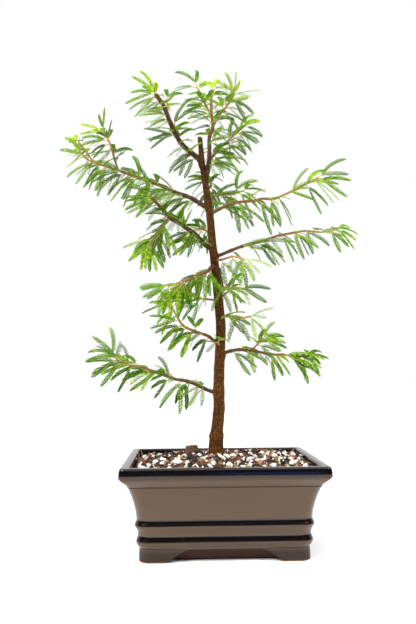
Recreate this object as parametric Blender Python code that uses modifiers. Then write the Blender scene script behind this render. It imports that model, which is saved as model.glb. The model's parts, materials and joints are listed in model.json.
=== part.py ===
"""Powder puff bonsai: a young tree with feathery leaves, standing in soil in a glazed rectangular pot.

Routes and profiles are in millimetres, measured from the middle of the pot at the surface it stands on,
with +X to the right, +Y to the back and +Z up. Meshes are made in metres.
"""

import math
import random
from collections import namedtuple

import bmesh
import bpy
import numpy as np
from mathutils import Vector

MM = 0.001
# Points that a smooth curve gets between two of its hand-chosen ones.
CURVE_STEPS = 12

# Pot, in millimetres.
RIM_LENGTH = 152.4
RIM_DEPTH = 121.0
POT_HEIGHT = 68.0
# Outer wall, from the skirt up to the rim: how far in from the rim's edge, height, corner radius.
OUTER_WALL = [
    (22.0, 1.0, 6.0), (22.0, 8.4, 6.0), (14.2, 9.6, 9.0), (12.6, 11.2, 10.0), (11.7, 13.4, 10.0),
    (11.6, 15.2, 10.0), (12.6, 18.6, 10.0), (12.5, 21.2, 10.0), (11.0, 24.4, 10.0), (10.7, 26.6, 10.0),
    (11.6, 30.0, 10.0), (11.0, 35.5, 10.0), (9.7, 41.7, 9.0), (7.9, 48.0, 8.0), (6.0, 53.0, 7.0),
    (4.4, 55.6, 5.5), (2.2, 57.7, 4.5), (0.5, 60.0, 3.8), (0.0, 61.4, 3.5), (0.0, 67.2, 3.5),
    (0.8, 68.0, 3.0),
]
# Inner wall, from the rim down to the floor, in the same way.
INNER_WALL = [
    (6.4, 68.0, 3.0), (7.2, 67.2, 3.0), (8.3, 62.0, 3.0), (11.8, 54.5, 4.0), (15.2, 45.0, 5.0),
    (17.4, 30.0, 6.0), (18.2, 13.0, 6.0),
]
CORNER_STEPS = 2
FLOOR = INNER_WALL[-1][1]
# Four bracket feet, with a low arch along each side of the pot and a hollow underside.
FOOT_INSET = 13.9
FOOT_TOP = 12.8
FOOT_LENGTH = 21.0
FOOT_THICKNESS = 9.0
FOOT_CORNERS = (8.0, 9.0)
HOLLOW_CORNER = 4.0
# How a foot's inner end rises: distance from where it leaves the ground, and height.
FOOT_RISE = [
    (-0.8, -1.0), (0.0, 0.0), (2.7, 2.3), (5.8, 4.6), (9.4, 6.9), (12.6, 8.5), (15.5, 9.3), (18.0, 9.6),
]
UNDERSIDE_INSET = 29.0
UNDERSIDE_HEIGHT = 7.0
# Cutters reach this far past the faces they open.
OVERSHOOT = 1.0
# Drain holes in the floor, and the squares of plastic mesh that cover them.
DRAIN_RADIUS = 5.0
DRAIN_OFFSET = 31.0
DRAIN_SIDES = 10
MESH_SIZE = 18.0
MESH_THICKNESS = 0.8
MESH_HOLES = 2
MESH_BAR = 1.5

# Pieces that touch keep this gap.
GAP = 0.3

# Soil, in millimetres: the height of its middle, how much it sinks towards the rim, and its grains.
SOIL_TOP = 66.4
SOIL_MOUND = 3.4
SOIL_PEAK = (12.0, 4.0)
SOIL_GRAIN = 6.4
SOIL_ROUGHNESS = 1.7
GRAIN_SCATTER = 0.25
SOIL_SEED = 5

# A chunk of bark in the soil behind the trunk: half its size, its middle, turn and the slant of its top.
CHUNK_HALF_SIZE = (5.6, 4.2, 5.2)
CHUNK_MIDDLE = (-23.3, 22.0, 69.4)
CHUNK_TURN = 14.0
CHUNK_SLANT = 0.06
CHUNK_WEAR = 0.9

# Trunk: points on its middle line, and its radius against height, in millimetres.
TRUNK_ROUTE = [
    (-3, 12, 32), (-3, 12, 50), (-3.5, 12, 68), (-2.9, 11, 84), (-1, 11, 104), (-1, 10, 125), (0, 10, 150),
    (1, 9, 170), (0, 9, 187), (-2, 8, 208), (-4, 8, 228), (-6, 8, 247), (-7, 7, 260), (-9, 7, 277),
    (-12, 6, 299), (-14, 6, 312), (-15, 6, 324), (-16, 6, 335),
]
TRUNK_RADIUS = [
    (32, 5.2), (66, 5.7), (78, 5.7), (84, 5.4), (88, 5.05), (104, 4.8), (125, 4.55), (150, 4.2), (172, 4.1),
    (200, 3.75), (221, 3.6), (260, 3.2), (290, 2.8), (317, 2.3), (335, 2.0),
]
TRUNK_STEP = 11.0
TRUNK_SIDES_RESOLUTION = 2
# Swells and dips of the bark, above the soil only, so that the buried foot fits a plain hole.
BARK_RELIEF = 0.28
BARK_RELIEF_START = 76.0

# Leafy stems. A stem's route starts inside what carries it, the trunk or an earlier stem of the same node.
Stem = namedtuple("Stem", "route root_radius tip_radius first_leaf leaf_length")
BRANCHES = {
    "left_low_branch": [
        Stem([(-1, 10, 118), (-8, 8, 120), (-15, 5, 123), (-26, 1, 128), (-37, -3, 130), (-45, -5, 133),
              (-56, -10, 137), (-63, -12, 140), (-71, -15, 141), (-79, -18, 143), (-84, -21, 149)],
             1.9, 0.8, 14, (17, 24)),
    ],
    "left_mid_branch": [
        Stem([(-1, 10, 160), (-5, 12, 162), (-10, 15, 166), (-18, 18, 169), (-30, 24, 175), (-36, 28, 184),
              (-42, 33, 196)], 1.6, 0.8, 10, (16, 22)),
    ],
    "left_thin_branch": [
        Stem([(-1, 9, 195), (-5, 12, 196), (-15, 19, 198), (-24, 26, 201)], 1.1, 0.8, 12, (14, 19)),
    ],
    "front_left_branch": [
        Stem([(-4, 8, 223), (-6, 3, 223), (-11, -5, 217), (-17, -12, 214), (-24, -19, 209), (-32, -27, 205),
              (-42, -36, 201)], 1.7, 0.8, 8, (14, 22)),
    ],
    "left_second_branch": [
        Stem([(-6, 8, 240), (-11, 6, 241), (-20, 0, 249), (-27, -5, 253), (-34, -9, 257), (-41, -13, 260),
              (-47, -17, 266), (-56, -24, 274)], 2.3, 1.4, 10, (15, 22)),
        Stem([(-41, -13, 260), (-45, -17, 255), (-51, -21, 245), (-57, -28, 233)], 1.1, 0.8, 6, (14, 22)),
    ],
    "left_long_branch": [
        Stem([(-9, 7, 275), (-13, 8, 276), (-24, 9, 283), (-38, 12, 289), (-49, 14, 295), (-67, 16, 302),
              (-79, 18, 307), (-88, 20, 311), (-99, 22, 315), (-110, 23, 319), (-118, 24, 324)],
             2.2, 0.8, 12, (16, 24)),
        Stem([(-108, 23, 318), (-113, 23, 325), (-118, 22, 332), (-122, 22, 337)], 0.9, 0.8, 8, (12, 16)),
        Stem([(-87, 20, 311), (-90, 16, 321), (-93, 12, 331), (-98, 8, 341)], 1.0, 0.8, 8, (14, 20)),
    ],
    "left_upper_branch": [
        Stem([(-14, 6, 310), (-18, 4, 316), (-31, -1, 326), (-39, -6, 338), (-46, -12, 354), (-53, -16, 363)],
             2.4, 1.8, 9, (14, 22)),
        Stem([(-43, -10, 347), (-43, -12, 354), (-44, -13, 360)], 0.9, 0.8, 6, (13, 17)),
    ],
    "leader_shoot": [
        Stem([(-12, 6, 299), (-9, 3, 306), (-8, 2, 322), (-8, 2, 333), (-5, 3, 343), (-6, 3, 356),
              (-6, 2, 368), (-4, 2, 376)], 2.3, 0.9, 12, (13, 19)),
        Stem([(-7, 3, 355), (-12, 5, 366), (-15, 7, 375), (-19, 9, 382)], 0.9, 0.8, 8, (13, 18)),
        Stem([(-5, 3, 343), (0, -5, 350), (5, -11, 354), (9, -16, 358), (12, -20, 362)],
             1.1, 0.8, 8, (13, 18)),
    ],
    "right_slanted_branch": [
        Stem([(-13, 6, 305), (-6, 12, 319), (1, 16, 328), (9, 21, 338), (18, 26, 348), (25, 30, 356)],
             1.3, 0.8, 15, (14, 22)),
    ],
    "right_upper_branch": [
        Stem([(-10, 7, 280), (-6, 10, 282), (0, 17, 288), (13, 28, 292), (24, 37, 298)],
             1.3, 0.8, 8, (16, 22)),
    ],
    "right_arching_branch": [
        Stem([(-8, 7, 269), (-4, 5, 270), (6, 0, 274), (15, -3, 276), (28, -7, 276), (35, -10, 277),
              (43, -13, 276), (50, -15, 278), (60, -19, 282), (71, -23, 287), (78, -26, 290)],
             1.6, 0.8, 10, (17, 24)),
    ],
    "right_long_branch": [
        Stem([(-5, 8, 232), (-1, 9, 233), (15, 11, 240), (26, 13, 244), (40, 15, 248), (51, 16, 252),
              (64, 18, 255), (74, 19, 257), (84, 21, 257), (93, 22, 257), (106, 25, 260)],
             1.8, 0.8, 16, (16, 23)),
    ],
    "right_front_twig": [
        Stem([(-4, 8, 229), (2, -1, 228), (10, -14, 228), (18, -27, 223)], 1.1, 0.8, 9, (18, 25)),
    ],
    "right_mid_twig": [
        Stem([(-2, 9, 205), (2, 1, 205), (9, -13, 203), (15, -26, 201)], 1.1, 0.8, 8, (16, 22)),
    ],
    "right_lower_twig": [
        Stem([(0, 9, 181), (4, 1, 181), (11, -11, 180), (17, -21, 178), (22, -30, 178)],
             1.1, 0.8, 9, (15, 22)),
    ],
    "right_low_branch": [
        Stem([(0, 10, 148), (6, 11, 152), (16, 11, 154), (25, 12, 153), (34, 13, 152), (43, 14, 150),
              (52, 14, 150), (60, 15, 149), (68, 15, 148), (75, 16, 149)], 1.8, 0.8, 11, (15, 22)),
        Stem([(27, 12, 153), (30, 8, 157), (36, 3, 163)], 0.9, 0.8, 8, (13, 18)),
    ],
    "back_high_branch": [
        Stem([(-10, 7, 289), (-9, 13, 292), (-6, 24, 299), (-8, 34, 308)], 1.4, 0.8, 9, (14, 21)),
    ],
    "back_middle_branch": [
        Stem([(-6, 8, 252), (-8, 14, 254), (-12, 23, 259), (-19, 32, 262)], 1.5, 0.8, 9, (15, 22)),
    ],
    "back_lower_branch": [
        Stem([(-1, 9, 196), (3, 15, 200), (9, 24, 205), (12, 33, 208)], 1.4, 0.8, 9, (15, 22)),
    ],
    "low_spur": [
        Stem([(0, 10, 157), (-1, 5, 158), (-2, 0, 160)], 0.9, 0.8, 10, (15, 19)),
    ],
}

# Leaves: two feathered leaflet rows in a V on a short stalk, in millimetres and degrees.
STALK_LENGTH = (3.4, 5.4)
FORK_SPREAD = (26.0, 46.0)
FORK_HALF_WIDTH = 0.9
CROTCH_LEAD = 1.3
ROW_START = 0.3
ROW_LENGTH_SCATTER = (0.92, 1.05)
LEAFLET_HALF_WIDTH = 2.5
RIB_HALF_WIDTH = 0.55
NOTCH_HALF_WIDTH = 1.0
RIB_HALF_THICKNESS = 0.45
LEAF_DROOP = (0.06, 0.24)
# Rows longer than this are cut into three pairs of leaflets, and shorter ones into two.
LONG_ROW = 24.0
# How far back from its end a leaflet is widest, as a share of its length.
LEAFLET_SWEEP = 0.28

# Where leaves grow along a stem, and how they stand on it.
LEAF_PITCH = 14.5
PITCH_SCATTER = (0.8, 1.2)
PAIR_CHANCE = 0.5
LEAF_FORWARD = (0.5, 1.6)
TIP_FORWARD = 1.6
TURN_SCATTER = 0.9
TIP_TURN_SCATTER = 0.6
# Leaves above a stem lean further forwards and stand out less, and all hang, most of all on steep shoots.
RISING_FORWARD = 0.7
RISING_LOSS = 0.3
HANG = 0.18
STEEP_HANG = 0.4
FACE_SIDEWAYS = (-0.4, 0.4)
FACE_FRONT = (-1.4, -0.45)
FACE_UP = 0.6
LEAF_SEED = 41

# A leaf that would come too near anything is turned and tried again, ever more loosely, then made shorter.
PLACING_TRIES = 16
FIRST_LOOSENESS = 0.18
ADDED_LOOSENESS = 0.07
TURN_LOOSENESS = 2.4
SHORTENED = 0.82
SAMPLE_STEP = 1.25
WOOD_STEP = 1.5
CLEAR_OF_OTHERS = 1.95
CLEAR_OF_OWN = 0.9

# Stem solids: the length of a straight stretch, and the short edges that are closed up after fusing.
STEM_STEP = 8.0
TWIG_STEP = 7.0
WELD_DISTANCE = 0.35
# Faces this near a stem's surface are bark.
BARK_MARGIN = 1.2

# The origin lies under the middle of the whole tree's box, which is this far left of the pot's middle.
ORIGIN_SHIFT = 5.0


def to_metres(point):
    """A millimetre point from the pot's middle, as a vector in metres from the origin."""
    return Vector(((point[0] + ORIGIN_SHIFT) * MM, point[1] * MM, point[2] * MM))


def clear_scene():
    for obj in list(bpy.data.objects):
        bpy.data.objects.remove(obj, do_unlink=True)


def new_collection(name, hidden=False):
    collection = bpy.data.collections.new(name)
    bpy.context.scene.collection.children.link(collection)
    collection.hide_render = hidden
    return collection


def srgb(hex_colour):
    """Linear colour from an sRGB hex value."""
    channels = [int(hex_colour[i:i + 2], 16) / 255 for i in (0, 2, 4)]
    return tuple(((c + 0.055) / 1.055) ** 2.4 if c > 0.04045 else c / 12.92 for c in channels) + (1.0,)


def make_material(name, hex_colour, roughness, metallic=0.0):
    material = bpy.data.materials.new(name)
    material.use_nodes = True
    shader = material.node_tree.nodes["Principled BSDF"]
    shader.inputs["Base Color"].default_value = srgb(hex_colour)
    shader.inputs["Roughness"].default_value = roughness
    shader.inputs["Metallic"].default_value = metallic
    return material


def mesh_object(name, points, faces, collection):
    """A mesh object from millimetre points, with its faces turned outwards."""
    mesh = bpy.data.meshes.new(name)
    mesh.from_pydata([to_metres(p) for p in points], [], faces)
    shell = bmesh.new()
    shell.from_mesh(mesh)
    bmesh.ops.recalc_face_normals(shell, faces=shell.faces)
    shell.to_mesh(mesh)
    shell.free()
    obj = bpy.data.objects.new(name, mesh)
    collection.objects.link(obj)
    return obj


def hide_helper(obj):
    obj.hide_render = True
    obj.display_type = "WIRE"


def apply_modifiers(obj):
    """Turns an object's evaluated shape into its own mesh."""
    graph = bpy.context.evaluated_depsgraph_get()
    mesh = bpy.data.meshes.new_from_object(obj.evaluated_get(graph))
    old = obj.data
    obj.modifiers.clear()
    obj.data = mesh
    mesh.name = obj.name
    if isinstance(old, bpy.types.Mesh):
        bpy.data.meshes.remove(old)


def cut(obj, cutters):
    """Takes hidden cutter objects out of an object, and removes them."""
    for cutter in cutters:
        hide_helper(cutter)
        modifier = obj.modifiers.new("cut_" + cutter.name, "BOOLEAN")
        modifier.operation = "DIFFERENCE"
        modifier.object = cutter
    apply_modifiers(obj)
    for cutter in cutters:
        bpy.data.objects.remove(cutter, do_unlink=True)


def rounded_rectangle(half_x, half_y, radius, z):
    """Points of one level of the pot, from its right side round to the left."""
    points = []
    for quarter, (sign_x, sign_y) in enumerate([(1, 1), (-1, 1), (-1, -1), (1, -1)]):
        for step in range(CORNER_STEPS + 1):
            angle = math.radians(90 * quarter + 90 * step / CORNER_STEPS)
            points.append((sign_x * (half_x - radius) + radius * math.cos(angle),
                           sign_y * (half_y - radius) + radius * math.sin(angle), z))
    return points


def pot_level(inset, z, radius):
    return rounded_rectangle(RIM_LENGTH / 2 - inset, RIM_DEPTH / 2 - inset, radius, z)


def loft(name, levels, collection):
    """A closed solid through like levels, capped at both ends."""
    count = len(levels[0])
    points = [point for level in levels for point in level]
    faces = []
    for row in range(len(levels) - 1):
        for i in range(count):
            a = row * count + i
            b = row * count + (i + 1) % count
            faces.append((a, b, b + count, a + count))
    faces.append(tuple(range(count)))
    faces.append(tuple(range((len(levels) - 1) * count, len(levels) * count)))
    return mesh_object(name, points, faces, collection)


def arch_cutter(name, half_length, along_x, side, collection):
    """A low arch between two feet: an outline whose ends rise in long curves, pushed in from one side."""
    outline = [(x - half_length, z) for x, z in FOOT_RISE]
    outline += [(-x, z) for x, z in reversed(outline)]
    half_span = (RIM_DEPTH if along_x else RIM_LENGTH) / 2
    inner = half_span - FOOT_INSET - FOOT_THICKNESS - OVERSHOOT
    points = []
    for distance in (inner, half_span):
        for x, z in outline:
            points.append((x, side * distance, z) if along_x else (side * distance, x, z))
    count = len(outline)
    faces = [(i, (i + 1) % count, (i + 1) % count + count, i + count) for i in range(count)]
    faces += [tuple(range(count)), tuple(range(count, 2 * count))]
    return mesh_object(name, points, faces, collection)


def make_feet(cutters):
    """Four bracket feet: a low ring, cut away along each side and hollow under the pot."""
    ring = loft("feet", [pot_level(FOOT_INSET, 0.0, FOOT_CORNERS[0]),
                         pot_level(FOOT_INSET, FOOT_TOP, FOOT_CORNERS[1])], cutters)
    tools = []
    for side in (-1, 1):
        front_half = RIM_LENGTH / 2 - FOOT_INSET - FOOT_LENGTH
        tools.append(arch_cutter(f"arch_x{side}", front_half, True, side, cutters))
        end_half = RIM_DEPTH / 2 - FOOT_INSET - FOOT_LENGTH
        tools.append(arch_cutter(f"arch_y{side}", end_half, False, side, cutters))
    inside = FOOT_INSET + FOOT_THICKNESS
    bottom = pot_level(inside, -OVERSHOOT, HOLLOW_CORNER)
    top = pot_level(inside, FOOT_TOP - 2 * OVERSHOOT, HOLLOW_CORNER)
    tools.append(loft("feet_inside", [bottom, top], cutters))
    cut(ring, tools)
    return ring


def make_pot(collection, cutters):
    """The glazed pot: one wall from skirt to rim and down inside, with feet, hollow underside and drains."""
    levels = [pot_level(*level) for level in OUTER_WALL + INNER_WALL]
    pot = loft("pot", levels, collection)
    bottom = pot_level(UNDERSIDE_INSET, -OVERSHOOT, HOLLOW_CORNER)
    top = pot_level(UNDERSIDE_INSET, UNDERSIDE_HEIGHT, HOLLOW_CORNER)
    hollow = loft("underside", [bottom, top], cutters)
    drains = []
    for side in (-1, 1):
        ring = [(side * DRAIN_OFFSET + DRAIN_RADIUS * math.cos(math.tau * i / DRAIN_SIDES),
                 DRAIN_RADIUS * math.sin(math.tau * i / DRAIN_SIDES)) for i in range(DRAIN_SIDES)]
        ends = (UNDERSIDE_HEIGHT - OVERSHOOT, FLOOR + OVERSHOOT)
        drains.append(loft(f"drain{side}", [[(x, y, z) for x, y in ring] for z in ends], cutters))
    cut(pot, [hollow] + drains)
    feet = make_feet(cutters)
    modifier = pot.modifiers.new("feet", "BOOLEAN")
    modifier.operation = "UNION"
    modifier.object = feet
    apply_modifiers(pot)
    bpy.data.objects.remove(feet, do_unlink=True)
    pot.data.materials.append(make_material("glazed_stoneware", "15161B", 0.18))
    return pot


def make_drain_mesh(name, side, collection):
    """A square of plastic mesh on the pot's floor, over a drain hole: a plate with a grid of square holes."""
    bottom = FLOOR + GAP
    cell = (MESH_SIZE - MESH_BAR) / MESH_HOLES
    edges = [0.0]
    for i in range(MESH_HOLES):
        edges += [i * cell + MESH_BAR, (i + 1) * cell]
    edges.append(MESH_SIZE)
    plate = bmesh.new()
    grid = {}
    for i, x in enumerate(edges):
        for j, y in enumerate(edges):
            place = (side * DRAIN_OFFSET - MESH_SIZE / 2 + x, y - MESH_SIZE / 2, bottom)
            grid[i, j] = plate.verts.new(to_metres(place))
    for i in range(len(edges) - 1):
        for j in range(len(edges) - 1):
            if i % 2 == 0 or j % 2 == 0:
                plate.faces.new((grid[i, j], grid[i + 1, j], grid[i + 1, j + 1], grid[i, j + 1]))
    sheet = plate.faces[:]
    raised = bmesh.ops.extrude_face_region(plate, geom=sheet)
    top = [v for v in raised["geom"] if isinstance(v, bmesh.types.BMVert)]
    bmesh.ops.translate(plate, verts=top, vec=(0, 0, MESH_THICKNESS * MM))
    bmesh.ops.recalc_face_normals(plate, faces=plate.faces)
    mesh = bpy.data.meshes.new(name)
    plate.to_mesh(mesh)
    plate.free()
    obj = bpy.data.objects.new(name, mesh)
    collection.objects.link(obj)
    obj.data.materials.append(make_material(name + "_plastic", "1B1D1C", 0.6))
    return obj


def smooth_route(points, step):
    """Even steps along a Catmull-Rom curve through hand-chosen points."""
    knots = [Vector(p) for p in points]
    knots = [2 * knots[0] - knots[1]] + knots + [2 * knots[-1] - knots[-2]]
    dense = [knots[1]]
    for i in range(1, len(knots) - 2):
        p0, p1, p2, p3 = knots[i - 1:i + 3]
        for k in range(1, CURVE_STEPS + 1):
            t = k / CURVE_STEPS
            dense.append(0.5 * (2 * p1 + (p2 - p0) * t + (2 * p0 - 5 * p1 + 4 * p2 - p3) * t ** 2
                                + (3 * p1 - p0 - 3 * p2 + p3) * t ** 3))
    lengths = [0.0]
    for a, b in zip(dense, dense[1:]):
        lengths.append(lengths[-1] + (b - a).length)
    count = max(2, round(lengths[-1] / step))
    route = []
    for k in range(count + 1):
        route.append(point_at(dense, lengths, lengths[-1] * k / count))
    return route


def point_at(points, lengths, distance):
    """The point at a distance along a polyline whose running lengths are given."""
    for i in range(1, len(points)):
        if distance <= lengths[i] or i == len(points) - 1:
            share = (distance - lengths[i - 1]) / max(lengths[i] - lengths[i - 1], 1e-9)
            return points[i - 1].lerp(points[i], min(1.0, share))
    return points[-1]


def between(table, height):
    """A value read from a table of (height, value) pairs, straight between its rows."""
    for (low, a), (high, b) in zip(table, table[1:]):
        if height <= high:
            return a + (b - a) * max(0.0, (height - low) / (high - low))
    return table[-1][1]


def tube(name, route, radii, resolution, collection):
    """A round solid along a route, made as a curve with filled caps and turned into a closed mesh."""
    curve = bpy.data.curves.new(name, "CURVE")
    curve.dimensions = "3D"
    curve.bevel_depth = MM
    curve.bevel_resolution = resolution
    curve.use_fill_caps = True
    spline = curve.splines.new("POLY")
    spline.points.add(len(route) - 1)
    for point, place, radius in zip(spline.points, route, radii):
        point.co = (*to_metres(place), 1.0)
        point.radius = radius
    holder = bpy.data.objects.new(name + "_curve", curve)
    collection.objects.link(holder)
    graph = bpy.context.evaluated_depsgraph_get()
    mesh = bpy.data.meshes.new_from_object(holder.evaluated_get(graph))
    bpy.data.objects.remove(holder, do_unlink=True)
    shell = bmesh.new()
    shell.from_mesh(mesh)
    bmesh.ops.remove_doubles(shell, verts=shell.verts, dist=1e-6)
    bmesh.ops.recalc_face_normals(shell, faces=shell.faces)
    shell.to_mesh(mesh)
    shell.free()
    obj = bpy.data.objects.new(name, mesh)
    collection.objects.link(obj)
    return obj


def trunk_tube(name, extra, collection):
    """The trunk's tube with its bark relief, made thicker all round by an extra radius."""
    route = smooth_route(TRUNK_ROUTE, TRUNK_STEP)
    radii = [between(TRUNK_RADIUS, p.z) + extra for p in route]
    if extra:
        route[-1] = route[-1] + Vector((0, 0, extra))
    obj = tube(name, route, radii, TRUNK_SIDES_RESOLUTION, collection)
    middle = [to_metres(p) for p in route]
    for vertex in obj.data.vertices:
        axis = min(middle, key=lambda p: (p - vertex.co).length)
        out = Vector((vertex.co.x - axis.x, vertex.co.y - axis.y, 0))
        height = axis.z / MM
        if height < BARK_RELIEF_START or out.length < 1e-6:
            continue
        angle = round(math.atan2(out.y, out.x) * 4 / math.pi)
        swell = math.sin(2.3 * angle + 0.11 * height) * math.cos(1.7 * angle - 0.37 * height)
        vertex.co += out.normalized() * (BARK_RELIEF * swell * MM)
    return obj


def make_trunk(collection):
    trunk = trunk_tube("trunk", 0.0, collection)
    trunk.data.materials.append(make_material("brown_bark", "6A4A2C", 0.85))
    return trunk


def soil_height(x, y):
    """Low mound that sinks towards the rim, a little higher to the right of the trunk."""
    across = (x - SOIL_PEAK[0]) / (RIM_LENGTH / 2)
    along = (y - SOIL_PEAK[1]) / (RIM_DEPTH / 2)
    return SOIL_TOP - SOIL_MOUND * (across ** 2 + along ** 2)


def make_soil(collection, cutters):
    """The filled inside of the pot: a block with granular relief on top and a plain hole for the trunk."""
    draw = random.Random(SOIL_SEED)
    half_x = RIM_LENGTH / 2 + SOIL_GRAIN / 2
    half_y = RIM_DEPTH / 2 + SOIL_GRAIN / 2
    count_x = round(2 * half_x / SOIL_GRAIN)
    count_y = round(2 * half_y / SOIL_GRAIN)
    points = []
    for j in range(count_y + 1):
        for i in range(count_x + 1):
            shift = draw.uniform(-GRAIN_SCATTER, GRAIN_SCATTER)
            x = -half_x + 2 * half_x * (i + 0.5 * (j % 2) + shift) / count_x
            y = -half_y + 2 * half_y * (j + draw.uniform(-GRAIN_SCATTER, GRAIN_SCATTER)) / count_y
            points.append((x, y, soil_height(x, y) + draw.uniform(-1, 1) * SOIL_ROUGHNESS))
    row = count_x + 1
    faces = []
    for j in range(count_y):
        for i in range(count_x):
            a = j * row + i
            if j % 2:
                faces += [(a, a + 1, a + row + 1), (a, a + row + 1, a + row)]
            else:
                faces += [(a, a + 1, a + row), (a + 1, a + row + 1, a + row)]
    shell = bmesh.new()
    verts = [shell.verts.new(to_metres(p)) for p in points]
    for face in faces:
        shell.faces.new([verts[i] for i in face])
    lid = shell.faces[:]
    lifted = bmesh.ops.extrude_face_region(shell, geom=lid)
    for item in lifted["geom"]:
        if isinstance(item, bmesh.types.BMVert):
            item.co.z = 2 * POT_HEIGHT * MM
    bmesh.ops.recalc_face_normals(shell, faces=shell.faces)
    mesh = bpy.data.meshes.new("soil_air")
    shell.to_mesh(mesh)
    shell.free()
    air = bpy.data.objects.new("soil_air", mesh)
    cutters.objects.link(air)
    bottom = FLOOR + 2 * GAP + MESH_THICKNESS
    levels = []
    for inset, z, radius in reversed(INNER_WALL[2:]):
        levels.append(pot_level(inset + GAP, max(z, bottom), radius))
    throat, _, throat_corner = INNER_WALL[1]
    levels.append(pot_level(throat + GAP, POT_HEIGHT + 2 * SOIL_ROUGHNESS, throat_corner))
    soil = loft("soil", levels, collection)
    cut(soil, [air, trunk_tube("trunk_hole", GAP, cutters), bark_block("bark_hole", GAP, cutters)])
    soil.data.materials.append(make_material("potting_mix", "5A4636", 0.95))
    return soil


def bark_block(name, extra, collection):
    """The bark chunk's rough block, narrower at its top, grown all round by an extra size."""
    half = [size + extra for size in CHUNK_HALF_SIZE]
    turn = math.radians(CHUNK_TURN)
    points = []
    for sx, sy, sz in [(-1, -1, -1), (1, -1, -1), (1, 1, -1), (-1, 1, -1),
                       (-0.82, -0.7, 1), (0.9, -0.6, 1), (0.75, 0.8, 1), (-0.95, 0.7, 1)]:
        x, y, z = sx * half[0], sy * half[1], sz * half[2]
        points.append((CHUNK_MIDDLE[0] + x * math.cos(turn) - y * math.sin(turn),
                       CHUNK_MIDDLE[1] + x * math.sin(turn) + y * math.cos(turn),
                       CHUNK_MIDDLE[2] + z + CHUNK_SLANT * x))
    faces = [(0, 1, 2, 3), (4, 5, 6, 7), (0, 1, 5, 4), (1, 2, 6, 5), (2, 3, 7, 6), (3, 0, 4, 7)]
    return mesh_object(name, points, faces, collection)


def make_bark_chunk(collection):
    chunk = bark_block("bark_chunk", 0.0, collection)
    modifier = chunk.modifiers.new("worn_edges", "BEVEL")
    modifier.width = CHUNK_WEAR * MM
    modifier.segments = 1
    apply_modifiers(chunk)
    chunk.data.materials.append(make_material("dry_bark", "5B3B27", 0.9))
    return chunk


class Leaf:
    """One leaf: a stalk from the stem's middle line that forks into two feathered rows."""

    def __init__(self, root, direction, face, length, draw):
        self.root = root
        self.along = direction.normalized()
        self.across = face.cross(self.along).normalized()
        self.up = self.along.cross(self.across)
        self.stalk = draw.uniform(*STALK_LENGTH)
        self.spread = math.radians(draw.uniform(*FORK_SPREAD))
        self.droop = draw.uniform(*LEAF_DROOP)
        self.lengths = (length * draw.uniform(*ROW_LENGTH_SCATTER),
                        length * draw.uniform(*ROW_LENGTH_SCATTER))

    def fork(self):
        return self.root + self.along * self.stalk

    def rib(self, side, t):
        """A point on the rib of one row, side +1 or -1, at a share t of its length."""
        angle = side * self.spread / 2
        reach = self.lengths[side > 0] * t
        ahead = self.along * math.cos(angle) + self.across * math.sin(angle)
        start = self.fork() + self.across * (side * 0.5 * FORK_HALF_WIDTH) + self.along * ROW_START
        return start + ahead * reach - self.up * (self.droop * reach * t)

    def aside(self, side):
        angle = side * self.spread / 2
        return self.across * math.cos(angle) - self.along * math.sin(angle)

    def half_width(self, t):
        return LEAFLET_HALF_WIDTH * (0.62 + 0.38 * math.sin(math.pi * min(1.0, 0.12 + 0.95 * t)))

    def samples(self):
        """Points spread over both rows, for testing what they come near."""
        points = [self.root + self.along * (self.stalk * share) for share in (0.7, 1.0)]
        for side in (-1, 1):
            count = math.ceil(self.lengths[side > 0] / SAMPLE_STEP)
            for i in range(count + 1):
                t = i / count
                middle = self.rib(side, t)
                half = self.half_width(t) * (1 - 0.5 * t ** 6)
                for share in (-1, -0.5, 0, 0.5, 1):
                    points.append(middle + self.aside(side) * (half * share))
        return np.array(points)

    def solid(self, name, collection):
        """A closed thin shell: a raised rib, and an outline cut to the rib between its leaflets."""
        points = []
        faces = []

        def add(point):
            points.append(point)
            return len(points) - 1

        thick = self.up * RIB_HALF_THICKNESS
        root = [add(self.root + self.across * RIB_HALF_WIDTH), add(self.root - self.across * RIB_HALF_WIDTH),
                add(self.root + thick), add(self.root - thick)]
        fork = self.fork()
        crotch = add(fork + self.along * CROTCH_LEAD)
        faces += [(root[0], root[2], root[1]), (root[0], root[1], root[3])]
        tops = {}
        outers = {}
        for side in (-1, 1):
            start = self.rib(side, 0.0)
            outers[side] = add(fork + self.across * (side * FORK_HALF_WIDTH))
            tops[side] = (add(start + thick), add(start - thick))
            self.row(side, outers[side], crotch, tops[side], add, faces)
        for level in (0, 1):
            near = root[2 + level]
            faces += [(root[0], near, tops[1][level]), (root[0], tops[1][level], outers[1])]
            faces += [(root[1], near, tops[-1][level]), (root[1], tops[-1][level], outers[-1])]
            faces += [(near, tops[1][level], crotch), (near, crotch, tops[-1][level])]
        return mesh_object(name, points, faces, collection)

    def row(self, side, outer, crotch, start_rib, add, faces):
        """The faces of one row of leaflets, alike on the upper and the lower side."""
        lobes = 3 if self.lengths[side > 0] > LONG_ROW else 2
        thick = self.up * RIB_HALF_THICKNESS
        notches = {1: outer if side > 0 else crotch, -1: crotch if side > 0 else outer}
        rib = start_rib
        for lobe in range(1, lobes + 1):
            t_tip = (lobe - LEAFLET_SWEEP) / lobes
            t_end = lobe / lobes
            last = lobe == lobes
            end = self.rib(side, t_end)
            end_rib = (add(end),) * 2 if last else (add(end + thick), add(end - thick))
            for hand in (-1, 1):
                tip = add(self.rib(side, t_tip) + self.aside(side) * (hand * self.half_width(t_tip)))
                notch = notches[hand]
                for level in (0, 1):
                    faces.append((rib[level], notch, tip))
                    faces.append((rib[level], tip, end_rib[level]))
                if last:
                    continue
                notches[hand] = add(end + self.aside(side) * (hand * NOTCH_HALF_WIDTH))
                for level in (0, 1):
                    faces.append((end_rib[level], tip, notches[hand]))
            rib = end_rib


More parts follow.
